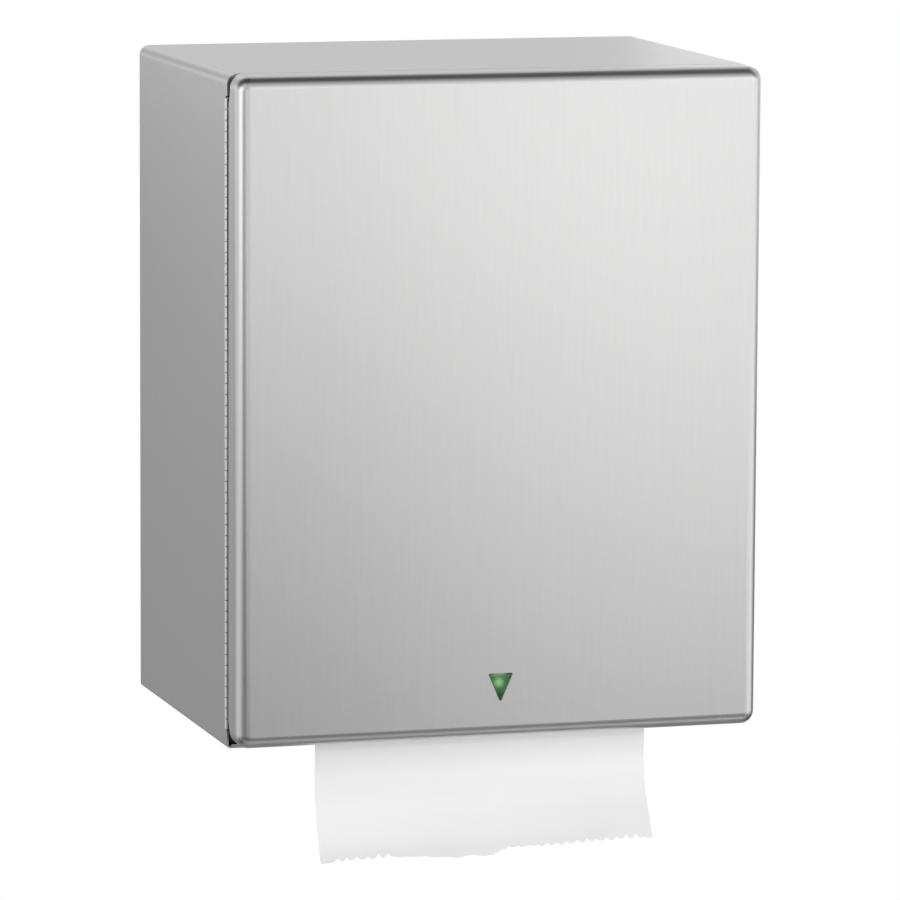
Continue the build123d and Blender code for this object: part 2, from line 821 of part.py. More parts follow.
# Front cover between the side plates: a moulded shell open underneath
cover_back_y = web_y - web_thickness / 2 - cover_gap
cover_front_y = cover_back_y - cover_depth
cover_top_z = nip_z - cover_top_drop
cover_bottom_z = floor_z + cover_bottom_rise
with BuildPart() as front_cover:
    block((-frame_inner, frame_inner), (cover_back_y, cover_front_y), (cover_bottom_z, cover_top_z))
    fillet(edges().filter_by(Axis.X).group_by(Axis.Z)[-1], radius=cover_corner)
    offset(amount=-cover_sheet, openings=faces().sort_by(Axis.Z)[0])
    bar_y(
        light_radius,
        cover_front_y + cover_sheet + overrun,
        cover_front_y - overrun,
        0,
        lens_mid_z,
        Mode.SUBTRACT,
    )
finish(front_cover.part, "front_cover")

# Tear bar: a serrated strip inside the front cover, with its teeth below the edge
tear_half_width = frame_inner - cover_sheet
tear_pitch = 2 * tear_half_width / tear_teeth
tear_top_z = cover_bottom_z + tear_height
tear_points = [(tear_half_width, tear_top_z), (-tear_half_width, tear_top_z)]
for tooth in range(tear_teeth):
    tooth_x = -tear_half_width + tooth * tear_pitch
    tear_points.append((tooth_x, cover_bottom_z))
    tear_points.append((tooth_x + tear_pitch / 2, cover_bottom_z - tear_tooth_height))
tear_points.append((tear_half_width, cover_bottom_z))
with BuildPart() as tear_bar:
    with BuildSketch(Plane.XZ.offset(-cover_back_y + cover_sheet)):
        with BuildLine():
            Polyline(*tear_points, close=True)
        make_face()
    extrude(amount=tear_sheet)
finish(tear_bar.part, "tear_bar")

# Status light in the front cover, just behind the lens
light_front_y = lens_back_y + light_gap
with BuildPart() as status_light:
    bar_y(light_radius, cover_front_y + cover_sheet, light_front_y, 0, lens_mid_z)
finish(status_light.part, "status_light")

# Drive roller: a steel shaft through both side plates, with rubber grips
with BuildPart() as drive_shaft:
    bar_x(drive_shaft_radius, -frame_outer, gear_end, drive_y, nip_z)
finish(drive_shaft.part, "drive_shaft")

grip_places = [(number - (grip_count - 1) / 2) * grip_pitch for number in range(grip_count)]
with BuildPart() as drive_grips:
    for grip_x in grip_places:
        bar_x(drive_radius, grip_x - grip_width / 2, grip_x + grip_width / 2, drive_y, nip_z)
    bar_x(drive_shaft_radius, -frame_outer, frame_outer, drive_y, nip_z, Mode.SUBTRACT)
finish(drive_grips.part, "drive_grips")


# Gear train: involute teeth, each flank a chord of the involute
def tooth_half_angle(radius, teeth):
    """Half the angle that a tooth covers at a radius."""
    pitch_radius = gear_module * teeth / 2
    base_radius = pitch_radius * cos(radians(pressure_angle))
    thickness = pi * gear_module / 2 - gear_backlash / 2
    roll_angle = acos(min(base_radius / radius, 1))
    involute = tan(roll_angle) - roll_angle
    pitch_involute = tan(radians(pressure_angle)) - radians(pressure_angle)
    return thickness / (2 * pitch_radius) + pitch_involute - involute


def polar(radius, angle):
    """A point at a radius and an angle."""
    return (radius * cos(angle), radius * sin(angle))


def gear_outline(teeth, first_tooth):
    """Draw the outline of a gear whose first tooth points along an angle."""
    pitch_radius = gear_module * teeth / 2
    tip = pitch_radius + addendum_share * gear_module
    root = pitch_radius - dedendum_share * gear_module
    base = max(root, pitch_radius * cos(radians(pressure_angle)))
    step = 2 * pi / teeth
    low = tooth_half_angle(base, teeth)
    high = tooth_half_angle(tip, teeth)
    for number in range(teeth):
        centre = first_tooth + number * step
        if base > root:
            Line(polar(root, centre - low), polar(base, centre - low))
        Line(polar(base, centre - low), polar(tip, centre - high))
        Line(polar(tip, centre - high), polar(tip, centre + high))
        Line(polar(tip, centre + high), polar(base, centre + low))
        if base > root:
            Line(polar(base, centre + low), polar(root, centre + low))
        Line(polar(root, centre + low), polar(root, centre + step - low))


def mating_tooth(bearing, first_tooth, teeth, other_teeth):
    """The angle of a tooth on the gear that meshes along a bearing."""
    place = (bearing - first_tooth) / (2 * pi / teeth)
    return bearing + pi - (pi - place * 2 * pi) / other_teeth


idler_bearing = radians(idler_angle)
pinion_bearing = radians(pinion_angle)
drive_tooth = idler_bearing
idler_tooth = mating_tooth(idler_bearing, drive_tooth, drive_teeth, idler_teeth)
pinion_tooth = mating_tooth(pinion_bearing, idler_tooth, idler_teeth, pinion_teeth)


def gear_plane(y, z):
    """The plane on which a gear of the train is drawn."""
    return Plane(origin=(gear_start, y, z), x_dir=(0, 1, 0), z_dir=(1, 0, 0))


with BuildPart() as drive_gear:
    with BuildSketch(gear_plane(drive_y, nip_z)):
        with BuildLine():
            gear_outline(drive_teeth, drive_tooth)
        make_face()
        Circle(drive_shaft_radius, mode=Mode.SUBTRACT)
    extrude(amount=gear_face)
finish(drive_gear.part, "drive_gear")

with BuildPart() as idler_gear:
    with BuildSketch(gear_plane(idler_y, idler_z)):
        with BuildLine():
            gear_outline(idler_teeth, idler_tooth)
        make_face()
        Circle(idler_axle_radius + running_gap, mode=Mode.SUBTRACT)
    extrude(amount=gear_face)
finish(idler_gear.part, "idler_gear")

with BuildPart() as idler_axle:
    bar_x(idler_axle_radius, frame_outer, gear_end + face_gap, idler_y, idler_z)
    bar_x(
        idler_axle_head_radius,
        gear_end + face_gap,
        gear_end + face_gap + idler_axle_head,
        idler_y,
        idler_z,
    )
finish(idler_axle.part, "idler_axle")

with BuildPart() as motor_pinion:
    with BuildSketch(gear_plane(pinion_y, pinion_z)):
        with BuildLine():
            gear_outline(pinion_teeth, pinion_tooth)
        make_face()
    extrude(amount=gear_face)
    bar_x(motor_shaft_radius, frame_inner + face_gap, gear_start, pinion_y, pinion_z)
finish(motor_pinion.part, "motor_pinion")

# Gear motor against the inside of the right side plate
gearbox_end = frame_inner - motor_gearbox
can_end = gearbox_end - motor_can
with BuildPart() as gear_motor:
    bar_x(motor_gearbox_radius, gearbox_end, frame_inner, pinion_y, pinion_z)
    bar_x(motor_can_radius, can_end, gearbox_end, pinion_y, pinion_z)
finish(gear_motor.part, "gear_motor")

# Pinch bracket: two arms on trunnions, a front bar and a lug over each spring
pinch_arm_outer = frame_inner - pinch_arm_inset
pinch_arm_inner = pinch_arm_outer - pinch_arm_sheet
pinch_bar_y = web_y - pinch_bar_forward
with BuildPart() as pinch_bracket:
    with BuildSketch(Plane.YZ.offset(pinch_arm_inner)):
        with BuildLine():
            Polyline(
                (pinch_pivot_y + pinch_eye_radius, pinch_pivot_z + pinch_eye_radius),
                (pinch_pivot_y - pinch_eye_radius, pinch_pivot_z + pinch_eye_radius),
                (pinch_bar_y, nip_z + pinch_bar_rise),
                (pinch_bar_y, nip_z - pinch_eye_radius),
                (pinch_y + pinch_eye_radius, nip_z - pinch_eye_radius),
                (pinch_y + pinch_eye_radius, nip_z + pinch_eye_radius),
                close=True,
            )
        make_face()
        with Locations((pinch_y, nip_z)):
            Circle(pinch_axle_radius + running_gap, mode=Mode.SUBTRACT)
    extrude(amount=pinch_arm_sheet)
    block(
        (pinch_arm_inner, pinch_arm_outer),
        (pinch_pivot_y, spring_y + spring_seat_half),
        (lug_bottom_z, lug_bottom_z + spring_lug),
    )
    bar_x(trunnion_radius, pinch_arm_outer, frame_outer, pinch_pivot_y, pinch_pivot_z)
    mirror(about=Plane.YZ)
    block(
        (-pinch_arm_outer, pinch_arm_outer),
        (pinch_bar_y - pinch_bar_sheet, pinch_bar_y),
        (nip_z - pinch_bar_drop, nip_z + pinch_bar_rise),
    )
    block(
        (-pinch_arm_inner, pinch_arm_inner),
        (pinch_bar_y - pinch_bar_sheet - pinch_grip, pinch_bar_y),
        (nip_z - pinch_bar_drop, nip_z - pinch_bar_drop + pinch_bar_sheet),
    )
finish(pinch_bracket.part, "pinch_bracket")

with BuildPart() as pinch_rollers:
    for grip_x in grip_places:
        bar_x(
            pinch_radius,
            grip_x - pinch_roller_width / 2,
            grip_x + pinch_roller_width / 2,
            pinch_y,
            nip_z,
        )
    bar_x(pinch_axle_radius, -pinch_arm_outer, pinch_arm_outer, pinch_y, nip_z)
finish(pinch_rollers.part, "pinch_rollers")

# Pinch springs: a bent strip on each side between its seat and the lug
spring_foot_z = seat_top_z + face_gap
spring_head_z = lug_bottom_z - face_gap
spring_mid_z = (spring_foot_z + spring_head_z) / 2
spring_open_y = spring_y - spring_seat_half
spring_bend_y = spring_open_y + spring_reach
with BuildPart() as pinch_springs:
    with BuildSketch(Plane.YZ.offset(spring_inner_x)):
        with BuildLine():
            Polyline(
                (spring_open_y, spring_foot_z),
                (spring_bend_y, spring_mid_z - spring_strip / 2),
                (spring_bend_y, spring_mid_z + spring_strip / 2),
                (spring_open_y, spring_head_z),
                (spring_open_y, spring_head_z - spring_strip),
                (spring_bend_y - 2 * spring_strip, spring_mid_z),
                (spring_open_y, spring_foot_z + spring_strip),
                close=True,
            )
        make_face()
    extrude(amount=spring_width)
    mirror(about=Plane.YZ)
finish(pinch_springs.part, "pinch_springs")

# Battery box at the left of the frame: two columns of two cells
cell_step = cell_length + cell_gap
column_height = cells_per_column * cell_step - cell_gap
contact_room = contact_sheet + cell_gap
box_left = -inner_x + box_side_gap
box_right = box_left + 2 * (cell_radius + cell_room + box_wall)
box_front = -case_depth + box_front_setback
cover_back = box_front + cover_lip + battery_cover_sheet + 2 * cover_slack
column_step = 2 * (cell_radius + cell_room)
front_column_y = cover_back + cell_room + cell_radius
column_places = (front_column_y, front_column_y + column_step)
box_back = front_column_y + column_step + cell_radius + cell_room + box_wall
box_top = floor_z + 2 * box_wall + column_height + 2 * contact_room
column_x = (box_left + box_right) / 2
first_cell_z = floor_z + box_wall + contact_room
with BuildPart() as battery_box:
    block((box_left, box_right), (box_back, box_front), (floor_z, box_top))
    block(
        (box_left + box_wall, box_right - box_wall),
        (box_back - box_wall, box_front - overrun),
        (floor_z + box_wall, box_top - box_wall),
        mode=Mode.SUBTRACT,
    )
    block(
        (box_left + box_wall - cover_groove_depth, box_right - box_wall + cover_groove_depth),
        (cover_back, cover_back - battery_cover_sheet - 2 * cover_slack),
        (floor_z + box_wall, box_top + overrun),
        mode=Mode.SUBTRACT,
    )
finish(battery_box.part, "battery_box")

with BuildPart() as battery_contacts:
    for column_y in column_places:
        for plate_z in (floor_z + box_wall, box_top - box_wall - contact_sheet):
            block(
                (column_x - contact_size / 2, column_x + contact_size / 2),
                (column_y - contact_size / 2, column_y + contact_size / 2),
                (plate_z, plate_z + contact_sheet),
            )
finish(battery_contacts.part, "battery_contacts")

with BuildPart() as batteries:
    for column_y in column_places:
        for number in range(cells_per_column):
            foot_z = first_cell_z + number * cell_step
            with Locations((column_x, column_y, foot_z)):
                Cylinder(cell_radius, cell_length, align=(Align.CENTER, Align.CENTER, Align.MIN))
finish(batteries.part, "batteries")

# Battery cover: it slides up in the grooves of the box
cover_edge = cover_groove_depth - cover_slack
cover_front = cover_back - cover_slack - battery_cover_sheet
with BuildPart() as battery_cover:
    block(
        (box_left + box_wall - cover_edge, box_right - box_wall + cover_edge),
        (cover_back - cover_slack, cover_front),
        (floor_z + box_wall, box_top),
    )
    block(
        (column_x - cover_grip_width / 2, column_x + cover_grip_width / 2),
        (cover_front, cover_front - cover_grip_proud),
        (box_top - cover_grip_drop - cover_grip_height, box_top - cover_grip_drop),
    )
finish(battery_cover.part, "battery_cover")

# Control housing on the right side plate, closed at the back by its circuit board
housing_x = (frame_outer, frame_outer + housing_width)
housing_front_y = -frame_front
housing_back_y = housing_front_y + housing_depth
housing_z = (floor_z + housing_lift, floor_z + housing_lift + housing_height)
button_x = (housing_x[0] + housing_x[1]) / 2
button_z = housing_z[0] + button_rise_share * housing_height
switch_z = housing_z[0] + switch_rise_share * housing_height
board_back_y = housing_back_y
board_front_y = board_back_y - board_sheet
front_inner_y = housing_front_y + housing_wall
knob_slot = knob_width + 2 * knob_travel + 2 * button_slack
with BuildPart() as control_housing:
    block(housing_x, (housing_front_y, housing_back_y), housing_z)
    fillet(edges().filter_by(Axis.Z).group_by(Axis.Y)[0], radius=housing_corner)
    offset(amount=-housing_wall, openings=faces().sort_by(Axis.Y)[-1])
    block(
        (button_x - button_width / 2 - button_slack, button_x + button_width / 2 + button_slack),
        (front_inner_y + overrun, housing_front_y - overrun),
        (button_z - button_height / 2 - button_slack, button_z + button_height / 2 + button_slack),
        mode=Mode.SUBTRACT,
    )
    block(
        (button_x - knob_slot / 2, button_x + knob_slot / 2),
        (front_inner_y + overrun, housing_front_y - overrun),
        (switch_z - knob_height / 2 - button_slack, switch_z + knob_height / 2 + button_slack),
        mode=Mode.SUBTRACT,
    )
finish(control_housing.part, "control_housing")

# Circuit board in the back of the housing, with the two switch bodies and a chip
button_end_y = front_inner_y + button_flange
with BuildPart() as circuit_board:
    block(
        (housing_x[0] + housing_wall, housing_x[1] - housing_wall),
        (board_front_y, board_back_y),
        (housing_z[0] + housing_wall, housing_z[1] - housing_wall),
    )
    block(
        (button_x - button_height / 2, button_x + button_height / 2),
        (board_front_y, button_end_y + button_travel + face_gap),
        (button_z - button_height / 2, button_z + button_height / 2),
    )
    block(
        (button_x - knob_slot / 2, button_x + knob_slot / 2),
        (board_front_y, front_inner_y + knob_base + face_gap),
        (switch_z - knob_height / 2, switch_z + knob_height / 2),
    )
    block(
        (button_x - chip_size / 2, button_x + chip_size / 2),
        (board_front_y, board_front_y - chip_height),
        (housing_z[0] + chip_size / 2, housing_z[0] + chip_size),
    )
finish(circuit_board.part, "circuit_board")

with BuildPart() as feed_button:
    block(
        (button_x - button_width / 2, button_x + button_width / 2),
        (front_inner_y, housing_front_y - button_proud),
        (button_z - button_height / 2, button_z + button_height / 2),
    )
    block(
        (button_x - button_width / 2 - button_margin, button_x + button_width / 2 + button_margin),
        (front_inner_y, button_end_y),
        (button_z - button_height / 2 - button_margin, button_z + button_height / 2 + button_margin),
    )
finish(feed_button.part, "feed_button")

with BuildPart() as length_switch:
    block(
        (button_x - knob_width / 2, button_x + knob_width / 2),
        (front_inner_y, housing_front_y - knob_proud),
        (switch_z - knob_height / 2, switch_z + knob_height / 2),
    )
    block(
        (button_x - knob_width / 2 - knob_base_margin, button_x + knob_width / 2 + knob_base_margin),
        (front_inner_y, front_inner_y + knob_base),
        (switch_z - knob_height / 2 - knob_base_margin, switch_z + knob_height / 2 + knob_base_margin),
    )
finish(length_switch.part, "length_switch")

# Hand sensor window in the bottom panel
with BuildPart() as sensor_window:
    block(
        (-sensor_width / 2, sensor_width / 2),
        (-sensor_back - sensor_depth / 2, -sensor_back + sensor_depth / 2),
        (floor_z - bottom_sheet - sensor_proud, floor_z),
    )
    block(
        (-sensor_width / 2 - sensor_flange, sensor_width / 2 + sensor_flange),
        (-sensor_back - sensor_depth / 2 - sensor_flange, -sensor_back + sensor_depth / 2 + sensor_flange),
        (floor_z, floor_z + sensor_flange_sheet),
    )
finish(sensor_window.part, "sensor_window")
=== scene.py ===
# %% [markdown]
# # A paper towel dispenser in satin steel
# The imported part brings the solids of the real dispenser: a folded steel case, a drawn door on a piano
# hinge, and the paper feed behind it. This lesson dresses those solids for a picture. Hard pieces whose
# shape is already right keep their mesh and get a finish. Pieces that need a finer form, such as the
# domed lens, the round hinge knuckles and the paper, are modelled here and stand in for their solid.

# %% Load the solids
import bisect
import json
import math
import random

import bpy
from mathutils import Matrix, Vector


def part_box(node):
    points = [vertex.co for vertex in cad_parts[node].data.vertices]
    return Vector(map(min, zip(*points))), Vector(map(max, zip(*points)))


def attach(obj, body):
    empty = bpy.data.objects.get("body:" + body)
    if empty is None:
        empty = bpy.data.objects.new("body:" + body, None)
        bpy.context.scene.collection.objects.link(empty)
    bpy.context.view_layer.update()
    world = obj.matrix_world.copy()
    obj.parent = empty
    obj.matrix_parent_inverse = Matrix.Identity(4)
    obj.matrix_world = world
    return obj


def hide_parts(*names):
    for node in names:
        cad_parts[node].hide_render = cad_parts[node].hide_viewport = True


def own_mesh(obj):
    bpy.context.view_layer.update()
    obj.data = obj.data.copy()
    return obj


MM = 0.001
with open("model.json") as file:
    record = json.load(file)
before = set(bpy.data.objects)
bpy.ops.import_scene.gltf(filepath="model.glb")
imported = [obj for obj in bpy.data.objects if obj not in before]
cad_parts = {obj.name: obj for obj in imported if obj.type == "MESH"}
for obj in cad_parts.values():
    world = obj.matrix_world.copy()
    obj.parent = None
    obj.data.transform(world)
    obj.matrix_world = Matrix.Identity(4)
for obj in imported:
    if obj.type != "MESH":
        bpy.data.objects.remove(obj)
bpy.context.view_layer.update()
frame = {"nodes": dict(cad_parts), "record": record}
nodes = frame["nodes"]

# %% [markdown]
# ## Camera
# The photograph was taken from the left and a little above, with a long lens, so that upright edges stay
# almost parallel. A camera could be placed by eye, but fitting one to the case's edges gives its turn,
# tilt and distance as numbers, and these are used here as they are.

# %% Camera
YAW, TILT, LEAN = (math.radians(angle) for angle in (16.653, 8.264, 0.304))
SENSOR_WIDTH, FOCAL_LENGTH = 36, 252.07
DISTANCE = 3.90515
aim = Vector((38.653, 0, -57.904)) * MM
look = Vector((math.sin(YAW) * math.cos(TILT), math.cos(YAW) * math.cos(TILT), -math.sin(TILT)))
sideways = Vector((math.cos(YAW), -math.sin(YAW), 0))
upright = sideways.cross(look)
across = math.cos(LEAN) * sideways + math.sin(LEAN) * upright
upward = math.cos(LEAN) * upright - math.sin(LEAN) * sideways

bpy.ops.object.camera_add()
camera = bpy.context.object
camera.name = "photo_camera"
camera.data.sensor_width = SENSOR_WIDTH
camera.data.lens = FOCAL_LENGTH
camera.data.clip_end = 60
turned = Matrix((across, upward, -look)).transposed().to_4x4()
camera.matrix_world = Matrix.Translation(aim - look * DISTANCE) @ turned
bpy.context.scene.camera = camera
print("camera at", [round(value, 3) for value in camera.matrix_world.translation])

# %% [markdown]
# ## Sums on shader sockets
# A finish is a small sum over textures: a bit of grain here, a mask there. Wiring Math nodes by hand hides
# the sum, so one small class wraps a socket and lets Python's own operators add the nodes. Every other
# node comes from its single `node` method.


# %% A socket that can be added up
class Shade:
    """A shader value in one material. Sums on it add Math nodes."""

    def __init__(self, tree, socket=None):
        self.tree = tree
        self.socket = socket

    def node(self, kind, inputs=None, out=0, stops=None, **settings):
        """Add a node, set it up, feed its inputs and hand back one output."""
        new = self.tree.nodes.new("ShaderNode" + kind)
        for name, value in settings.items():
            setattr(new, name, value)
        if stops:
            ramp = new.color_ramp.elements
            ramp[0].position, ramp[0].color = stops[0]
            ramp[1].position, ramp[1].color = stops[-1]
            for place, colour in stops[1:-1]:
                ramp.new(place).color = colour
        for name, value in (inputs or {}).items():
            if isinstance(value, Shade):
                self.tree.links.new(value.socket, new.inputs[name])
            else:
                new.inputs[name].default_value = value
        return Shade(self.tree, new.outputs[out])

    def work_out(self, operation, *values):
        """A Math node on this value, or on the values that are given."""
        return self.node("Math", dict(enumerate(values or (self,))), operation=operation)

    def tint(self, first, second):
        """Go from the first colour to the second as this value goes from 0 to 1."""
        return self.node("Mix", {0: self, 6: first, 7: second}, out=2, data_type="RGBA")

    def step(self, low, high):
        """0 below low, 1 above high, and a smooth rise between them."""
        inputs = {"Value": self, "From Min": low, "From Max": high}
        return self.node("MapRange", inputs, interpolation_type="SMOOTHSTEP")

    def __add__(self, other):
        return self.work_out("ADD", self, other)

    def __sub__(self, other):
        return self.work_out("SUBTRACT", self, other)

    def __rsub__(self, other):
        return self.work_out("SUBTRACT", other, self)

    def __mul__(self, other):
        return self.work_out("MULTIPLY", self, other)

    __radd__ = __add__
    __rmul__ = __mul__


def new_finish(name, **sockets):
    """A material, with the values that are the same all over set on its shader."""
    material = bpy.data.materials.new(name)
    material.use_nodes = True
    shader = material.node_tree.nodes["Principled BSDF"]
    for socket, value in sockets.items():
        shader.inputs[socket.replace("_", " ")].default_value = value
    return material, Shade(material.node_tree)


def feed(material, **sockets):
    """Link the values that change over the surface to the material's shader."""
    shader = material.node_tree.nodes["Principled BSDF"]
    for socket, value in sockets.items():
        material.node_tree.links.new(value.socket, shader.inputs[socket.replace("_", " ")])
    return material


def grey(level, tone=0.0):
    """A grey, a little warm or cool with tone."""
    return (level * (1 + tone), level, level * (1 - tone), 1)


# %% [markdown]
# ## Satin steel
# The case and the door are sheet steel that was brushed along its length, so it carries fine short lines
# and smears reflections. A photograph of brushed steel would show the lines too, but it wouldn't follow
# the folds. Noise that is stretched along the brushing does: it tints the steel a little, varies its
# roughness and tilts its surface by a hair.

# %% Satin steel
STEEL_LEVEL, STEEL_TONE, STEEL_ROUGHNESS = 0.62, 0.004, 0.36
ALONG_BRUSHING, ACROSS_BRUSHING = 45, 1500


def satin_steel(name, grain):
    """Brushed steel whose lines run along the axes with low grain numbers."""
    material, shade = new_finish(name, Metallic=1.0)
    place = shade.node("TexCoord", out="Object")
    lines = shade.node("Mapping", {"Vector": place, "Scale": grain})
    coarse = shade.node("TexNoise", {"Vector": lines, "Scale": 0.35, "Detail": 2.0})
    fine = shade.node("TexNoise", {"Vector": lines, "Scale": 1.0, "Detail": 3.0, "Roughness": 0.6})
    cloud = shade.node("TexNoise", {"Vector": place, "Scale": 14.0, "Detail": 2.0})
    brushing = fine * 0.75 + coarse * 0.25
    dull, bright = (grey(STEEL_LEVEL * share, STEEL_TONE) for share in (0.98, 1.02))
    return feed(
        material,
        Base_Color=brushing.step(0.25, 0.75).tint(dull, bright),
        Roughness=STEEL_ROUGHNESS - 0.025 + brushing * 0.04 + cloud * 0.01,
        Normal=shade.node("Bump", {"Height": brushing, "Strength": 0.25, "Distance": 0.01 * MM}),
    )


door_steel = satin_steel("door_satin_steel", (ACROSS_BRUSHING, ACROSS_BRUSHING, ALONG_BRUSHING))
case_steel = satin_steel("case_satin_steel", (ALONG_BRUSHING, ACROSS_BRUSHING, ALONG_BRUSHING))
print("steel finishes:", door_steel.name, case_steel.name)

# %% [markdown]
# ## The other hard finishes
# Inside are plated steel, moulded plastic, acetal gears and rubber grips. None of them is one flat colour:
# plating is cloudy, moulded plastic has the fine texture of its mould, and rubber is patchy with dust.
# Each could be painted by hand, but noise reaches every side of a piece without a seam, and one function
# with a few numbers makes all the plastics.


# %% Plated steel, plastics and rubber
def plated_steel():
    material, shade = new_finish("plated_steel", Metallic=1.0)
    place = shade.node("TexCoord", out="Object")
    cloud = shade.node("TexNoise", {"Vector": place, "Scale": 60.0, "Detail": 4.0})
    spangle = shade.node("TexVoronoi", {"Vector": place, "Scale": 320.0})
    return feed(
        material,
        Base_Color=cloud.tint((0.50, 0.51, 0.52, 1), (0.70, 0.70, 0.69, 1)),
        Roughness=0.26 + cloud * 0.16 + spangle * 0.05,
    )


def moulded(name, low, high, rough, texture=1800.0, depth=0.03 * MM):
    """Moulded plastic with the fine texture of its mould."""
    material, shade = new_finish(name)
    place = shade.node("TexCoord", out="Object")
    spark = shade.node("TexNoise", {"Vector": place, "Scale": texture, "Detail": 2.0})
    cloud = shade.node("TexNoise", {"Vector": place, "Scale": 25.0, "Detail": 3.0})
    return feed(
        material,
        Base_Color=cloud.tint((*low, 1), (*high, 1)),
        Roughness=rough - 0.05 + cloud * 0.08 + spark * 0.06,
        Normal=shade.node("Bump", {"Height": spark, "Strength": 0.5, "Distance": depth}),
    )


plating = plated_steel()
black_plastic = moulded("black_plastic", (0.020, 0.020, 0.022), (0.035, 0.035, 0.037), 0.46)
grey_plastic = moulded("grey_plastic", (0.34, 0.35, 0.36), (0.42, 0.43, 0.44), 0.42)
acetal = moulded("white_acetal", (0.78, 0.78, 0.75), (0.86, 0.86, 0.84), 0.34, 900.0, 0.01 * MM)
rubber = moulded("grip_rubber", (0.025, 0.025, 0.025), (0.06, 0.06, 0.058), 0.74, 1400.0, 0.05 * MM)
button_green = moulded("button_green", (0.03, 0.26, 0.09), (0.05, 0.36, 0.13), 0.34)
board_green = moulded("board_green", (0.015, 0.12, 0.05), (0.03, 0.20, 0.09), 0.30, 700.0)
smoked = moulded("smoked_window", (0.012, 0.006, 0.008), (0.022, 0.010, 0.014), 0.10, 300.0, 0.005 * MM)
lamp_green = moulded("lamp_green", (0.10, 0.50, 0.18), (0.18, 0.70, 0.28), 0.12, 200.0, 0.005 * MM)
core_board = moulded("core_board", (0.34, 0.23, 0.14), (0.46, 0.33, 0.21), 0.85, 500.0, 0.1 * MM)
print("materials so far:", len(bpy.data.materials))

# %% [markdown]
# ## Cells
# Two columns of two cells feed the motor, and all four share one mesh and one material. Splitting the mesh
# would only be needed for different cells. The height, cut into cell lengths, gives each of them the same
# film, pale band and bare steel ends.

# %% Cell jackets
CELLS_FOOT, CELL_LENGTH = -192.1 * MM, 60.05 * MM


def cell_jacket():
    """A printed film round each cell, with bare steel at its ends and a pale band under the upper end."""
    material, shade = new_finish("cell_jacket", Coat_Weight=0.3)
    place = shade.node("TexCoord", out="Object")
    height = shade.node("SeparateXYZ", {0: place}, out="Z")
    cell = ((height - CELLS_FOOT) * (1 / CELL_LENGTH)).work_out("FRACT")
    bare = 1 - cell.step(0.02, 0.03) * (1 - cell.step(0.95, 0.96))
    band = cell.step(0.70, 0.71)
    scuff = shade.node("TexNoise", {"Vector": place, "Scale": 160.0, "Detail": 4.0})
    film = band.tint((0.02, 0.035, 0.075, 1), (0.42, 0.43, 0.44, 1))
    return feed(
        material,
        Base_Color=bare.tint(film, (0.62, 0.61, 0.58, 1)),
        Metallic=bare,
        Roughness=0.24 + scuff * 0.14,
    )


jacket = cell_jacket()
print("cells of", round(CELL_LENGTH / MM, 1), "mm")

# %% [markdown]
# ## A finish for every solid
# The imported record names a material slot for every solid. Picking finishes solid by solid would be long,
# so one table turns the slot into a finish.

# %% Give every solid its finish
# the solids with the slots towel_paper and green_lens are modelled again below, with their own finish
finishes = {
    "satin_stainless": case_steel,
    "plated_steel": plating,
    "black_plastic": black_plastic,
    "grey_plastic": grey_plastic,
    "white_acetal": acetal,
    "green_lens": lamp_green,
    "clear_green": lamp_green,
    "towel_paper": grey_plastic,
    "core_board": core_board,
    "grip_rubber": rubber,
    "battery_jacket": jacket,
    "board_green": board_green,
    "button_green": button_green,
    "smoked_window": smoked,
}
for row in frame["record"]["subparts"]:
    mesh = nodes[row["node"]].data
    mesh.materials.clear()
    mesh.materials.append(finishes[row["material_slot"]])

# %% [markdown]
# ## Modelling by hand, in code
# Each new piece starts as a primitive and is then shaped in edit mode. Operators work on what is selected,
# so small helpers start a piece with nothing else selected, and pick its faces or edges by a rule.


# %% Selecting helpers
def only(*pieces):
    """Select just these pieces, and make the first one active."""
    bpy.ops.object.select_all(action="DESELECT")
    for piece in pieces:
        piece.select_set(True)
    bpy.context.view_layer.objects.active = pieces[0]


def edit(piece):
    """Go into edit mode on one piece, with nothing in it selected."""
    only(piece)
    bpy.ops.object.mode_set(mode="EDIT")
    bpy.ops.mesh.select_all(action="DESELECT")


def leave():
    """Go back to object mode."""
    bpy.ops.object.mode_set(mode="OBJECT")


def pick(piece, kind, rule):
    """Select the vertices, edges or faces of the piece that the rule names."""
    bpy.ops.object.mode_set(mode="EDIT")
    bpy.ops.mesh.select_mode(type={"vertices": "VERT", "edges": "EDGE", "polygons": "FACE"}[kind])
    bpy.ops.mesh.select_all(action="DESELECT")
    leave()
    for part in getattr(piece.data, kind):
        part.select = bool(rule(part))
    bpy.ops.object.mode_set(mode="EDIT")


# %% Helpers that start a piece
def box_piece(name, low, high):
    """A cube between two corners, as the start of a piece."""
    bpy.ops.object.select_all(action="DESELECT")
    bpy.ops.mesh.primitive_cube_add(size=1, location=(Vector(low) + Vector(high)) / 2)
    piece = bpy.context.object
    piece.name = name
    piece.scale = Vector(high) - Vector(low)
    bpy.ops.object.transform_apply(location=True, rotation=True, scale=True)
    return piece


def round_bar(name, radius, start, end, sides):
    """A cylinder between two points, as the start of a piece."""
    start, end = Vector(start), Vector(end)
    bpy.ops.object.select_all(action="DESELECT")
    bpy.ops.mesh.primitive_cylinder_add(vertices=sides, radius=radius, depth=(end - start).length)
    piece = bpy.context.object
    piece.name = name
    piece.rotation_euler = (end - start).to_track_quat("Z", "Y").to_euler()
    piece.location = (start + end) / 2
    bpy.ops.object.transform_apply(location=True, rotation=True, scale=True)
    return piece


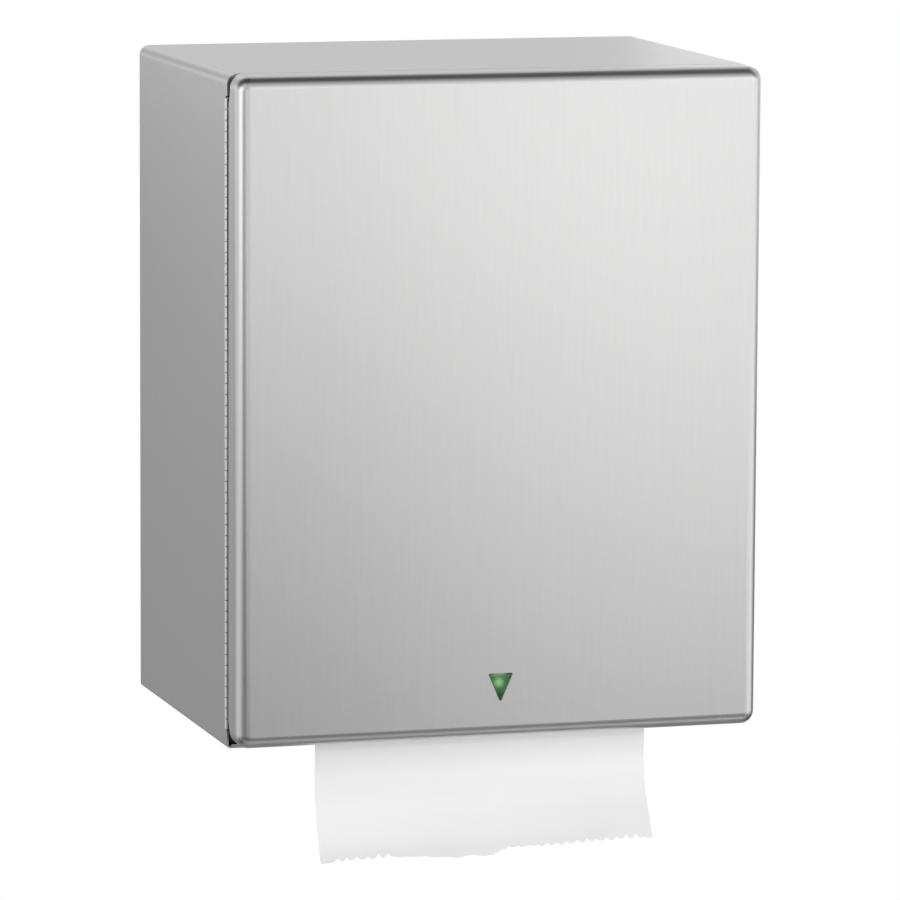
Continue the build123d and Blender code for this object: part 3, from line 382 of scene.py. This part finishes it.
def flat_piece(name, corners):
    """A circle whose corners are moved to the given points, as the start of a piece."""
    bpy.ops.object.select_all(action="DESELECT")
    bpy.ops.mesh.primitive_circle_add(vertices=len(corners), radius=MM, fill_type="NGON")
    piece = bpy.context.object
    piece.name = name
    for vertex, corner in zip(piece.data.vertices, corners):
        vertex.co = corner
    return piece


def copy_at(pattern, matrix):
    """A copy of a piece with its own mesh, moved by the matrix."""
    piece = pattern.copy()
    piece.data = pattern.data.copy()
    piece.data.transform(matrix)
    bpy.context.collection.objects.link(piece)
    return piece


# %% Helpers that shape and finish a piece
def extrude(*move):
    """Extrude what is selected by a move."""
    bpy.ops.mesh.extrude_region_move(TRANSFORM_OT_translate={"value": move})


def face_outwards(piece):
    """Turn every face of a piece outwards."""
    edit(piece)
    bpy.ops.mesh.select_all(action="SELECT")
    bpy.ops.mesh.normals_make_consistent(inside=False)
    leave()


def apply(piece, kind, **settings):
    """Add a modifier, set it and apply it."""
    bpy.context.view_layer.objects.active = piece
    modifier = piece.modifiers.new(kind.title(), kind)
    for name, value in settings.items():
        setattr(modifier, name, value)
    bpy.ops.object.modifier_apply(modifier=modifier.name)


def cut(piece, *cutters):
    """Cut each cutter out of the piece and throw the cutter away."""
    for cutter in cutters:
        apply(piece, "BOOLEAN", object=cutter, operation="DIFFERENCE", solver="EXACT")
        bpy.data.objects.remove(cutter)


def join(first, *others):
    """Make the other pieces part of the first one."""
    only(first, *others)
    bpy.ops.object.join()
    return first


def smooth(piece, angle):
    """Shade a piece smooth, apart from edges that are sharper than the angle."""
    only(piece)
    bpy.ops.object.shade_smooth_by_angle(angle=math.radians(angle))


def dress(piece, finish, body, slot, *stands_for):
    """Give a finished piece its material, its body and the solids it stands for. The slot is not used."""
    piece.data.materials.clear()
    piece.data.materials.append(finish)
    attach(piece, body)
    if stands_for:
        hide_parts(*stands_for)
    print(piece.name, "has", len(piece.data.polygons), "faces and stands for", stands_for or "nothing")


# %% [markdown]
# ## Door
# The door is drawn from one sheet, with rounded edges and flanges turned back on four sides. Its solid has
# all of that, and the cut-back corners beside the hinge, so it isn't modelled again. It only needs its own
# grain: the door was brushed upright, and the case round its folds.

# %% Door
door_low, door_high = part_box("door_panel")
nodes["door_panel"].data.materials[0] = door_steel
print("door", [round(side / MM, 1) for side in door_high - door_low])

# %% [markdown]
# ## Lens
# A dark green triangular lens is snapped through the door, with a flange behind the sheet. Its face is
# lightly domed, and a lamp behind it makes a soft glow left of its middle. A real lamp behind clear plastic
# would need many samples to look calm, so the finish glows by itself: a ramp round the lamp, a painted
# highlight along the top where the dome's shoulder catches light, and a little more light on the left.

# %% Lens finish
LAMP_SPOT, LAMP_REACH = (-1.5 * MM, -160.6 * MM), 8 * MM
HIGHLIGHT_SPOT, HIGHLIGHT_STRETCH = (-0.583 * MM, -155.5 * MM), (0.6, 3.4)


def lens_finish():
    material, shade = new_finish("green_lens", IOR=1.49, Coat_Weight=0.1, Emission_Strength=1.0)
    place = shade.node("TexCoord", out="Object")

    def away(spot, stretch=(1, 1)):
        """How far a place is from a spot on the face, with x and z stretched."""
        (x, z), (wide, tall) = spot, stretch
        inputs = {"Vector": place, "Location": (-x * wide, 0, -z * tall), "Scale": (wide, 0, tall)}
        return shade.node("VectorMath", {0: shade.node("Mapping", inputs)}, out="Value", operation="LENGTH")

    glow = shade.node(
        "ValToRGB",
        {"Fac": away(LAMP_SPOT) * (1 / LAMP_REACH)},
        stops=(
            (0.0, (0.25, 0.50, 0.22, 1)),
            (0.2, (0.16, 0.36, 0.14, 1)),
            (0.45, (0.022, 0.085, 0.022, 1)),
            (0.9, (0.0, 0.004, 0.0, 1)),
        ),
    )
    # painted highlight: a pale band of glow along the top, where the dome's shoulder catches light
    painted_highlight = 1 - away(HIGHLIGHT_SPOT, HIGHLIGHT_STRETCH).step(0.4 * MM, 3.6 * MM)
    left = 1 - shade.node("SeparateXYZ", {0: place}, out="X").step(-6 * MM, 1 * MM)
    lit = (painted_highlight * 0.5).tint(glow, (0.34, 0.52, 0.33, 1))
    frost = shade.node("TexNoise", {"Vector": place, "Scale": 1500.0, "Detail": 2.0})
    return feed(
        material,
        Base_Color=frost.tint((0.014, 0.048, 0.016, 1), (0.022, 0.066, 0.024, 1)),
        Roughness=0.16 + frost * 0.10,
        Emission_Color=(left * 0.22).tint(lit, (0.16, 0.30, 0.15, 1)),
    )


green_lens = lens_finish()
print("lens finish:", green_lens.name)

# %% [markdown]
# The lens itself could be cut from a ball, but a ball's cap has a round outline. A circle with three corners
# becomes the flange's triangle instead. Extruding it forward and drawing it in gives the neck through the
# door, and a few more such rings build the dome.

# %% Lens
LENS_TOP, LENS_HEIGHT, LENS_HALF = -155.3 * MM, 17.6 * MM, 7.7 * MM
FOOT_ROUND, TOP_ROUND = 3.4 * MM, 1.8 * MM
FLANGE_SHARE = 1.48
DOME_RINGS = ((0.985, 0.22), (0.955, 0.22), (0.90, 0.20), (0.80, 0.18), (0.62, 0.12), (0.5, 0.04))
flange_y, sheet_y, face_y = -232.3 * MM, -233.8 * MM, door_low.y - 0.05 * MM
lens_middle = Vector((0, 0, LENS_TOP - 5.04 * MM))
triangle = ((-LENS_HALF, LENS_TOP), (LENS_HALF, LENS_TOP), (0, LENS_TOP - LENS_HEIGHT))


def draw_in(share):
    """Scale what is selected towards the lens's middle."""
    bpy.ops.transform.resize(value=(share, 1, share), center_override=lens_middle)


lens = flat_piece("lens_dome", [(x, flange_y, z) for x, z in triangle])
for vertex in lens.data.vertices:
    vertex.co.x *= FLANGE_SHARE
    vertex.co.z = lens_middle.z + (vertex.co.z - lens_middle.z) * FLANGE_SHARE
for size, rule in (
    (FOOT_ROUND, lambda corner: corner.co.z < lens_middle.z - 5 * MM),
    (TOP_ROUND, lambda corner: corner.co.z > lens_middle.z + 5 * MM),
):
    pick(lens, "vertices", rule)
    bpy.ops.mesh.bevel(offset=size, segments=8, affect="VERTICES")
    leave()
edit(lens)
bpy.ops.mesh.select_mode(type="FACE")
bpy.ops.mesh.select_all(action="SELECT")
extrude(0, sheet_y - flange_y, 0)
extrude(0, 0, 0)
draw_in(1 / FLANGE_SHARE)
extrude(0, face_y - sheet_y, 0)
for share, rise in DOME_RINGS:
    extrude(0, -rise * MM, 0)
    draw_in(share)
leave()
face_outwards(lens)
edit(lens)
bpy.ops.mesh.select_mode(type="EDGE")
bpy.ops.mesh.select_non_manifold()
leave()
print("open edges of the lens:", sum(edge.select for edge in lens.data.edges))
smooth(lens, 60)
dress(lens, green_lens, "door", "green_lens", "indicator_lens")

# %% [markdown]
# ## Piano hinge
# Two leaves share one pin, and their edges are rolled into 58 knuckles that alternate from leaf to leaf.
# From the side only the knuckles show, as a row of short bars with fine dark joints. One long bar with
# dark lines on it couldn't part when the door opens, so one knuckle is modelled with softened ends, and
# copies of it are joined to each leaf's strip. Painted shade darkens the barrel's front beside the door's
# flange, where the gap between them lies in shadow.

# %% Hinge finish
GAP_SHADE_FROM, GAP_SHADE_FULL = 211.5 * MM, 212.5 * MM


def hinge_finish():
    """Satin steel with painted shade in front, where the barrel faces the gap by the door's flange, more so
    higher up.
    """
    material, shade = new_finish("hinge_satin_steel", Metallic=1.0)
    place = shade.node("TexCoord", out="Object")
    depth = shade.node("SeparateXYZ", {0: place}, out="Y")
    height = shade.node("SeparateXYZ", {0: place}, out="Z")
    grain = shade.node("TexNoise", {"Vector": place, "Scale": 900.0, "Detail": 3.0})
    # painted shade: the barrel's front, facing the gap by the door's flange, goes near black in its colour,
    # more so higher up
    in_front = (grain * (0.4 * MM) - depth).step(GAP_SHADE_FROM, GAP_SHADE_FULL)
    gap_shade = in_front * (0.72 + 0.26 * height.step(-20 * MM, 160 * MM))
    return feed(
        material,
        Base_Color=gap_shade.tint(grey(0.72, 0.004), (0.035, 0.034, 0.033, 1)),
        Roughness=0.34 + grain * 0.06 + gap_shade * 0.25,
    )


hinge_steel = hinge_finish()
print("hinge finish:", hinge_steel.name)

# %% Piano hinge
KNUCKLES, PITCH, BARREL = 58, 6.35 * MM, 2.5 * MM
JOINT, END_INSET, END_DROP = 0.28 * MM, 0.25 * MM, 0.12 * MM
LEAF, LEAF_NEAR, LEAF_FAR = 1 * MM, 1.5 * MM, 14 * MM
hinge_x, hinge_y, door_leaf_x = -157.75 * MM, -210 * MM, -157.55 * MM
leaf_low, leaf_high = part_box("hinge_leaf_door")


def knuckle(number):
    """One rolled knuckle at its place on the pin, with softened ends."""
    foot = Vector((hinge_x, hinge_y, leaf_low.z + number * PITCH + JOINT / 2))
    piece = round_bar("knuckle", BARREL, foot, foot + Vector((0, 0, PITCH - JOINT)), 24)
    pick(piece, "polygons", lambda face: abs(face.normal.z) > 0.9)
    bpy.ops.mesh.inset(thickness=END_INSET, depth=0.0)
    leave()
    middle = foot.z + PITCH / 2
    for vertex in piece.data.vertices:
        if math.hypot(vertex.co.x - hinge_x, vertex.co.y - hinge_y) > BARREL - 0.05 * MM:
            vertex.co.z += END_DROP if vertex.co.z < middle else -END_DROP
    return piece


def hinge_leaf(name, first, strip_low, strip_high, body, node):
    """A leaf's strip with every second knuckle joined to it."""
    leaf = box_piece(name, strip_low, strip_high)
    pattern = knuckle(first)
    others = range(first + 2, KNUCKLES, 2)
    copies = [copy_at(pattern, Matrix.Translation((0, 0, (number - first) * PITCH))) for number in others]
    join(leaf, pattern, *copies)
    smooth(leaf, 40)
    dress(leaf, hinge_steel, body, "satin_stainless", node)


hinge_leaf(
    "hinge_case_leaf",
    0,
    (hinge_x, hinge_y + LEAF_NEAR, leaf_low.z),
    (hinge_x + LEAF, hinge_y + LEAF_FAR, leaf_high.z),
    "cabinet",
    "hinge_leaf_cabinet",
)
hinge_leaf(
    "hinge_door_leaf",
    1,
    (door_leaf_x, hinge_y - LEAF_FAR, leaf_low.z),
    (door_leaf_x + LEAF, hinge_y - LEAF_NEAR, leaf_high.z),
    "door",
    "hinge_leaf_door",
)

# %% [markdown]
# ## Paper
# The towel leaves the roll, passes the nip and hangs out of the slot. It bows back a little, then its end
# curls forward, more on the right, and its edge is torn along the saw teeth of the tear bar. A cloth
# simulation would give a limp drape, and towel paper is stiffer than that, so the sheet is a grid that is
# laid along the curve of each side, with a torn edge and a faint crepe.


# %% Paper finish
def towel_paper():
    material, shade = new_finish("towel_paper", Specular_IOR_Level=0.15)
    place = shade.node("TexCoord", out="Object")
    fibre = shade.node("TexNoise", {"Vector": place, "Scale": 900.0, "Detail": 4.0})
    crepe_lines = shade.node("Mapping", {"Vector": place, "Scale": (120.0, 900.0, 900.0)})
    crepe = shade.node("TexNoise", {"Vector": crepe_lines, "Scale": 1.0, "Detail": 2.0})
    cloud = shade.node("TexNoise", {"Vector": place, "Scale": 40.0, "Detail": 2.0})
    height = fibre * 0.4 + crepe * 0.6
    return feed(
        material,
        Base_Color=(cloud * 0.5 + fibre * 0.5).tint((0.88, 0.88, 0.88, 1), (0.93, 0.93, 0.925, 1)),
        Roughness=0.86 + fibre * 0.10,
        Normal=shade.node("Bump", {"Height": height, "Strength": 0.35, "Distance": 0.08 * MM}),
    )


paper_finish = towel_paper()
print("paper finish:", paper_finish.name)


# %% Lines for the paper
def smooth_line(points):
    """A smooth line through a few points: close points on it, and the length up to each."""
    curve = bpy.data.curves.new("paper_line", "CURVE")
    curve.dimensions = "3D"
    curve.resolution_u = 24
    spline = curve.splines.new("BEZIER")
    spline.bezier_points.add(len(points) - 1)
    for knot, (y, z) in zip(spline.bezier_points, points):
        knot.co = (0, y * MM, z * MM)
        knot.handle_left_type = knot.handle_right_type = "AUTO"
    holder = bpy.data.objects.new("paper_line", curve)
    bpy.context.collection.objects.link(holder)
    line = [vertex.co.copy() for vertex in bpy.data.meshes.new_from_object(holder).vertices]
    bpy.data.objects.remove(holder)
    reach = [0.0]
    for a, b in zip(line, line[1:]):
        reach.append(reach[-1] + (b - a).length)
    return line, reach


def along(path, share, short=0.0):
    """The point at a share of a line that ends short of its full length."""
    line, reach = path
    target = (reach[-1] - short) * share
    index = min(bisect.bisect_right(reach, target) - 1, len(line) - 2)
    return line[index].lerp(line[index + 1], (target - reach[index]) / (reach[index + 1] - reach[index]))


# %% The path of the paper
# points are (y, z) in millimetres
ROLL_RADIUS, WRAP, WRAP_STEPS = 88, math.radians(25), 8
roll_middle, nip_point, slot_point = Vector((-112, 86)), Vector((-190, -128)), Vector((-196, -203))
tail_left = ((-195.4, -214), (-195.4, -225), (-197.4, -236), (-200.6, -248), (-206, -263), (-210, -269.5))
tail_right = ((-196, -215), (-196.9, -227), (-200.7, -238.5), (-206.5, -249.4), (-214, -262.5))

wrap_radius = ROLL_RADIUS + 0.5
to_nip = nip_point - roll_middle
leave_angle = math.atan2(to_nip.y, to_nip.x) - math.acos(wrap_radius / to_nip.length)
turns = [leave_angle - WRAP * (1 - number / WRAP_STEPS) for number in range(WRAP_STEPS + 1)]
wound = [roll_middle + wrap_radius * Vector((math.cos(turn), math.sin(turn))) for turn in turns]
taut = [wound[-1].lerp(nip_point, share) for share in (0.3, 0.65, 0.9, 1.0)]
hanging = [nip_point.lerp(slot_point, share) for share in (0.12, 0.5, 1.0)]
upper_path = smooth_line([*wound, *taut, *hanging])
left_path, right_path = (smooth_line([slot_point, *tail]) for tail in (tail_left, tail_right))
upper_length, tail_length = upper_path[1][-1], left_path[1][-1]
print("paper from roll to slot:", round(upper_length / MM), "mm, tail:", round(tail_length / MM), "mm")

# %% Torn edge
# places along the width, and how short the paper is there, in millimetres
EDGE, TOOTH, TOOTH_DEPTH, TOOTH_SPREAD, FRAY = 102, 6.1, 2.2, 1.2, 0.32
drift = (
    (-EDGE, 0), (-92, 1.3), (-62, 1.4), (-46, -0.3), (-16, -1.7),
    (2, -1.8), (11, 0.9), (34, 0.2), (EDGE, 0),
)
# where the saw bit: from, fades in over, to, fades out over
bitten = ((-98, 6, -56, 8), (8, 8, 99, 6))
random.seed(7)
knots = [random.uniform(-1, 1) for _ in range(400)]


def ease(share):
    """A smooth rise from 0 to 1."""
    share = min(max(share, 0), 1)
    return share * share * (3 - 2 * share)


def wander(mm, pitch, start):
    """A smooth seeded wander along the width, from -1 to 1."""
    place = (mm + EDGE) / pitch + start
    index = int(place)
    return knots[index] + (knots[index + 1] - knots[index]) * ease(place - index)


def torn(mm):
    """How short the paper is torn at a place on its width: saw bites at the sides, a calm pull between."""
    (low_at, low), (high_at, high) = next(pair for pair in zip(drift, drift[1:]) if mm <= pair[1][0])
    base = low + (high - low) * ease((mm - low_at) / (high_at - low_at))
    sawn = sum(ease((mm - start) / fade) * ease((end - mm) / out) for start, fade, end, out in bitten)
    phase = (mm + 0.9 * wander(mm, 9, 20)) / TOOTH
    bite = (abs(phase % 1 - 0.5) * 2) ** 1.7
    teeth = sawn * bite * (TOOTH_DEPTH + TOOTH_SPREAD * wander(mm, TOOTH, 60))
    pulled = (1 - sawn) * wander(mm, 7, 110)
    return (base + teeth + pulled + FRAY * wander(mm, 1.5, 160)) * MM


print("tear stands up to", round(max(torn(mm) for mm in range(-101, 102)) / MM, 1), "mm")

# %% Paper web and torn tail
COLUMNS, ROWS, TAIL_ROWS = 300, 60, 60
PAPER_WIDTH, PAPER_THICKNESS, RIPPLE = 203.2 * MM, 0.3 * MM, 0.2 * MM
bpy.ops.object.select_all(action="DESELECT")
bpy.ops.mesh.primitive_grid_add(x_subdivisions=COLUMNS, y_subdivisions=ROWS + TAIL_ROWS, size=1)
paper = bpy.context.object
paper.name = "towel_sheet"
for vertex in paper.data.vertices:
    column = vertex.co.x + 0.5
    row = (0.5 - vertex.co.y) * (ROWS + TAIL_ROWS)
    x = vertex.co.x * PAPER_WIDTH
    if row <= ROWS:
        spot = along(upper_path, row / ROWS)
    else:
        share = (row - ROWS) / TAIL_ROWS
        short = torn(x / MM)
        spot = along(left_path, share, short).lerp(along(right_path, share, short), column)
        spot.y += RIPPLE * wander(x / MM, 30, 300) * share
    vertex.co = (x, spot.y, spot.z)
face_outwards(paper)
apply(paper, "SOLIDIFY", thickness=PAPER_THICKNESS, offset=0)
smooth(paper, 60)
dress(paper, paper_finish, "cabinet", "towel_paper", "paper_web")
sheet_length = upper_length + tail_length

# %% [markdown]
# ## Towel roll
# A wound roll shows fine rings on its ends and a slightly soft edge. Modelling every layer would take far
# too many faces, so the roll is a bar whose ends are inset to the core's radius and bridged to a hole. Its
# rims are bevelled, and the layers are rings of noise in the finish.

# %% Wound paper
roll_y, roll_z = roll_middle * MM


def roll_finish():
    material, shade = new_finish("wound_paper", Specular_IOR_Level=0.15)
    place = shade.node("TexCoord", out="Object")
    centred = {"Vector": place, "Location": (0.0, -roll_y, -roll_z), "Scale": (0, 1, 1)}
    radius = shade.node("VectorMath", {0: shade.node("Mapping", centred)}, out="Value", operation="LENGTH")
    fibre = shade.node("TexNoise", {"Vector": place, "Scale": 700.0, "Detail": 3.0})
    rings = shade.node("TexNoise", {"W": radius * 2200.0, "Detail": 2.0}, noise_dimensions="1D")
    height = rings * 0.6 + fibre * 0.4
    return feed(
        material,
        Base_Color=(rings * 0.7 + fibre * 0.3).tint((0.70, 0.70, 0.69, 1), (0.90, 0.90, 0.89, 1)),
        Roughness=0.88 + fibre * 0.08,
        Normal=shade.node("Bump", {"Height": height, "Strength": 0.5, "Distance": 0.2 * MM}),
    )


wound_paper = roll_finish()
print("roll finish:", wound_paper.name)

# %% Towel roll
CORE_RADIUS, SOFT_RIM = 22.4, 1.2
roll_half = PAPER_WIDTH / 2
roll_ends = (-roll_half, roll_y, roll_z), (roll_half, roll_y, roll_z)
roll = round_bar("wound_roll", ROLL_RADIUS * MM, *roll_ends, 160)
pick(roll, "polygons", lambda face: abs(face.normal.x) > 0.9)
bpy.ops.mesh.inset(thickness=(ROLL_RADIUS - CORE_RADIUS) * MM)
bpy.ops.mesh.bridge_edge_loops()
leave()


def on_rim(edge):
    """Tell the edges round the roll's two rims."""
    ends = [roll.data.vertices[index].co for index in edge.vertices]
    outside = all(math.hypot(end.y - roll_y, end.z - roll_z) > (ROLL_RADIUS - 1) * MM for end in ends)
    return outside and abs(ends[0].x - ends[1].x) < 1e-6


pick(roll, "edges", on_rim)
bpy.ops.mesh.bevel(offset=SOFT_RIM * MM, segments=4, affect="EDGES")
leave()
smooth(roll, 50)
dress(roll, wound_paper, "roll", "towel_paper", "towel_roll")

# %% [markdown]
# ## Screws
# Pan head screws hold the left arm and the right arm's bracket to the back panel, and the front cover, the
# control housing and the frame in their places. A dot of colour would do from far away, but close by a
# screw is known by its domed edge and cross recess, so one head is modelled with both. Each row of copies
# on one part is joined into one piece.

# %% Screws
HEAD_RADIUS, HEAD_HEIGHT, HEAD_ROUND = 3.2 * MM, 1.9 * MM, 1.2 * MM
RECESS_LONG, RECESS_THIN, RECESS_FLOOR, RECESS_OVER = 1.75 * MM, 0.42 * MM, 0.8 * MM, 3 * MM


def pan_head():
    """A screw head that stands on the origin and faces up."""
    head = round_bar("screw_head", HEAD_RADIUS, (0, 0, 0), (0, 0, HEAD_HEIGHT), 28)
    top = HEAD_HEIGHT - 0.1 * MM
    pick(head, "edges", lambda edge: all(head.data.vertices[index].co.z > top for index in edge.vertices))
    bpy.ops.mesh.bevel(offset=HEAD_ROUND, segments=4, affect="EDGES")
    leave()
    for x, y in ((RECESS_LONG, RECESS_THIN), (RECESS_THIN, RECESS_LONG)):
        cut(head, box_piece("recess", (-x, -y, RECESS_FLOOR), (x, y, RECESS_OVER)))
    return head


def screw_row(name, facing, spots):
    """Copies of the head at places in millimetres, turned to face one way, as one piece."""
    turn = Vector(facing).to_track_quat("Z", "Y").to_matrix().to_4x4()
    heads = []
    for number, spot in enumerate(spots):
        spin = Matrix.Rotation(math.radians(37 * number + 11), 4, "Z")
        heads.append(copy_at(pattern_head, Matrix.Translation(Vector(spot) * MM) @ turn @ spin))
    row = join(*heads)
    row.name = name
    smooth(row, 35)
    dress(row, plating, "cabinet", "plated_steel")


pattern_head = pan_head()
screw_row("left_arm_screws", (0, -1, 0), ((-128, -3.7, 68), (-128, -3.7, 104)))
screw_row("bracket_screws", (0, -1, 0), ((120.7, -3.7, 68), (120.7, -3.7, 104)))
screw_row("cover_screws", (0, -1, 0), ((-97, -216, -170), (97, -216, -170)))
screw_row("housing_screws", (0, -1, 0), ((129.1, -216, -104), (129.1, -216, -177)))
screw_row("frame_screws", (0, 0, -1), [(x, y, -195.85) for x in (-110.1, 110.1) for y in (-130, -182)])
bpy.data.objects.remove(pattern_head)

# %% [markdown]
# ## Pinch springs
# A steel strip bent to a V stands under each lug of the pinch bracket and gives way when the bracket swings
# forward.
# Its outline starts as a circle whose corners are laid along a straight arm, a round bend and the other arm.

# %% Pinch springs
STRIP, STRIP_WIDTH, BEND, BEND_STEPS = 0.8 * MM, 4 * MM, 2.2 * MM, 14
spring_low, spring_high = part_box("pinch_springs")


def ray(turn):
    """A short step in (y, z) at an angle."""
    return Vector((math.cos(turn), math.sin(turn)))


def strip_outline():
    """The strip's outline in (y, z), out along one face and back along the other."""
    tip = Vector((spring_low.y, spring_high.z - STRIP / 2))
    centre = Vector((spring_high.y - STRIP / 2 - BEND, (spring_low.z + spring_high.z) / 2))
    arm = tip - centre
    reach = math.atan2(arm.y, arm.x) - math.acos(BEND / arm.length)
    line = [(tip, reach)]
    for step in range(BEND_STEPS + 1):
        turn = reach - 2 * reach * step / BEND_STEPS
        line.append((centre + BEND * ray(turn), turn))
    line.append((Vector((tip.x, 2 * centre.y - tip.y)), -reach))
    outer = [point + STRIP / 2 * ray(turn) for point, turn in line]
    inner = [point - STRIP / 2 * ray(turn) for point, turn in reversed(line)]
    return outer + inner


def bent_strip(x):
    """One spring, from x on to the right."""
    piece = flat_piece("bent_strip", [(x, y, z) for y, z in strip_outline()])
    edit(piece)
    bpy.ops.mesh.select_all(action="SELECT")
    extrude(STRIP_WIDTH, 0, 0)
    leave()
    face_outwards(piece)
    return piece


springs = join(bent_strip(spring_low.x), bent_strip(spring_high.x - STRIP_WIDTH))
springs.name = "pinch_strip_springs"
smooth(springs, 40)
dress(springs, plating, "cabinet", "plated_steel", "pinch_springs")
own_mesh(springs)

# %% [markdown]
# ## Room
# Satin steel looks like the room around it, so most of the likeness lies here. The photograph's ground is
# plain white, yet the steel shows a dim room with soft lights. A picture of a studio could be wrapped round
# the scene, but soft patches of light on the world can be fitted to the steel's greys one by one. The world
# is white to camera and transmission rays. To glossy rays it is white only behind the object, because a
# white room all round makes the steel much too pale.

# %% Room
SHEET_INNER, SHEET_OUTER = 8, 22
# azimuth, elevation, where the patch starts to fade and where it ends, level
patches = (
    (180, 0, 50, 80, 0.28),
    (0, -90, 15, 50, 0.26),
    (-115, -5, 4, 30, 0.62),
    (-85, -5, 4, 30, 0.74),
    (-60, -5, 4, 30, 0.18),
    (45, -5, 4, 30, 0.99),
    (75, -5, 4, 30, 1.11),
    (-45, 27, 6, 34, 0.84),
    (10, 28, 6, 35, 0.76),
    (100, 35, 6, 38, 0.72),
    (160, 35, 6, 38, 0.62),
    (-172, 18, 3, 19, 0.42),
)


def direction(azimuth, elevation):
    """A direction, with azimuth from the front towards the right."""
    turn, rise = math.radians(azimuth), math.radians(elevation)
    return Vector((math.sin(turn) * math.cos(rise), -math.cos(turn) * math.cos(rise), math.sin(rise)))


def studio():
    world = bpy.data.worlds.new("studio")
    bpy.context.scene.world = world
    world.use_nodes = True
    shade = Shade(world.node_tree)
    way = shade.node("TexCoord", out="Generated")

    def patch(towards, inner, outer):
        """1 within the inner angle of a direction, and 0 past the outer one."""
        near = shade.node("VectorMath", {0: way, 1: towards}, out="Value", operation="DOT_PRODUCT")
        return near.step(math.cos(math.radians(outer)), math.cos(math.radians(inner)))

    level = sum(patch(direction(*at), inner, outer) * bright for *at, inner, outer, bright in patches)
    room = shade.node("Background", {"Color": (1, 1, 1, 1), "Strength": level})
    white = shade.node("Background", {"Color": (1, 1, 1, 1), "Strength": 1.0})
    sheet = patch(look, SHEET_INNER, SHEET_OUTER)
    seen = shade.node("LightPath", out="Is Camera Ray") + shade.node("LightPath", out="Is Transmission Ray")
    seen = seen + shade.node("LightPath", out="Is Glossy Ray") * sheet
    mixed = shade.node("MixShader", {0: seen, 1: room, 2: white})
    world.node_tree.links.new(mixed.socket, world.node_tree.nodes["World Output"].inputs["Surface"])


studio()
print("room patches:", len(patches))

# %% [markdown]
# ## Soft boxes
# The door shows a wall of light in front of it. One large lamp would light the door evenly, but here it is
# brighter towards the upper right, so the wall is made of boxes with a level each. Boxes at the sides
# and the rear draw the bright lines on the rounded edges and the folds. The last three light the paper.


# %% Soft boxes
def soft_box(name, place, target, width, height, level, mirrored=True):
    """A rectangle of light whose face is level times as bright as white."""
    bpy.ops.object.light_add(type="AREA", location=place)
    lamp = bpy.context.object
    lamp.name = name
    lamp.data.shape = "RECTANGLE"
    lamp.data.size, lamp.data.size_y = width, height
    lamp.data.energy = level * math.pi * width * height
    lamp.rotation_euler = (Vector(target) - Vector(place)).to_track_quat("-Z", "Z").to_euler()
    lamp.visible_glossy = mirrored


WALL_Y = -1.4
# x, width, z, height and level of each part of the front wall of light, which faces straight back
front_wall = (
    (-0.700, 0.40, 0.10, 0.30, 2.05),
    (-0.300, 0.40, 0.10, 0.30, 1.19),
    (-0.300, 0.40, -0.20, 0.30, 1.09),
    (0.075, 0.35, 0.40, 0.30, 1.14),
    (0.075, 0.35, 0.10, 0.30, 0.95),
    (0.425, 0.35, 0.10, 0.30, 1.76),
    (0.425, 0.35, -0.20, 0.30, 1.09),
    (0.425, 0.35, -0.50, 0.30, 0.54),
    (0.900, 0.70, 0.38, 0.50, 1.65),
    (0.800, 0.40, -0.20, 0.30, 1.16),
)
for x, width, z, height, level in front_wall:
    soft_box("front_box", (x, WALL_Y, z), (x, 0, z), width, height, level)
soft_box("left_box", (-1.0, -0.5, 0.25), (-0.15, -0.21, 0.1), 0.6, 0.6, 1.45)
soft_box("right_box", (1.0, 0.25, 0.16), (0.158, -0.2, 0.1), 0.5, 0.6, 0.85)
soft_box("rear_left_box", (-0.9, 0.9, 0.25), (-0.15, -0.1, 0.1), 0.7, 0.7, 0.88)
soft_box("rear_low_box", (-0.9, 1.3, -0.35), (-0.9, 0, -0.35), 0.6, 0.5, 0.20)
soft_box("rear_right_box", (0.9, 1.3, 0.15), (0.9, 0, 0.15), 0.6, 0.5, 1.62)
# the steel's edges show no lamp where these three are
soft_box("low_left_box", (-0.7, -0.8, -0.85), (0, -0.2, -0.2), 0.5, 0.5, 2.17, mirrored=False)
soft_box("low_right_box", (0.8, -0.8, -0.85), (0, -0.2, -0.2), 0.5, 0.5, 8.3, mirrored=False)
soft_box("paper_box", (0.25, -1.0, 0.55), (0, -0.23, -0.25), 0.4, 0.4, 2.8, mirrored=False)
print("boxes in the front wall:", len(front_wall))

# %% [markdown]
# ## Floor
# The dispenser hangs over white ground with no shadow in sight. A floor across the whole picture would grey
# the ground, so this one is a pale strip in front that the camera doesn't see. It throws light back up.

# %% Floor
FLOOR_MIDDLE, FLOOR_SIZE = (0, -0.92, -1.1), (2.6, 0.76, 1)
bpy.ops.object.select_all(action="DESELECT")
bpy.ops.mesh.primitive_plane_add(size=1, location=FLOOR_MIDDLE)
bpy.ops.transform.resize(value=FLOOR_SIZE)
bpy.ops.object.transform_apply(location=True, rotation=True, scale=True)
floor = bpy.context.object
floor.name = "studio_floor"
floor_finish, floor_shade = new_finish("pale_floor", Roughness=0.8)
floor_place = floor_shade.node("TexCoord", out="Object")
floor_cloud = floor_shade.node("TexNoise", {"Vector": floor_place, "Scale": 3.0})
feed(floor_finish, Base_Color=floor_cloud.tint(grey(0.74), grey(0.80)))
floor.data.materials.append(floor_finish)
floor.visible_camera = False
print("floor at", round(FLOOR_MIDDLE[2] / MM), "mm")

# %% [markdown]
# ## Colours, and the end
# The plain Standard view shows colours as they are written.

# %% Colours, and the end
bpy.context.scene.view_settings.view_transform = "Standard"
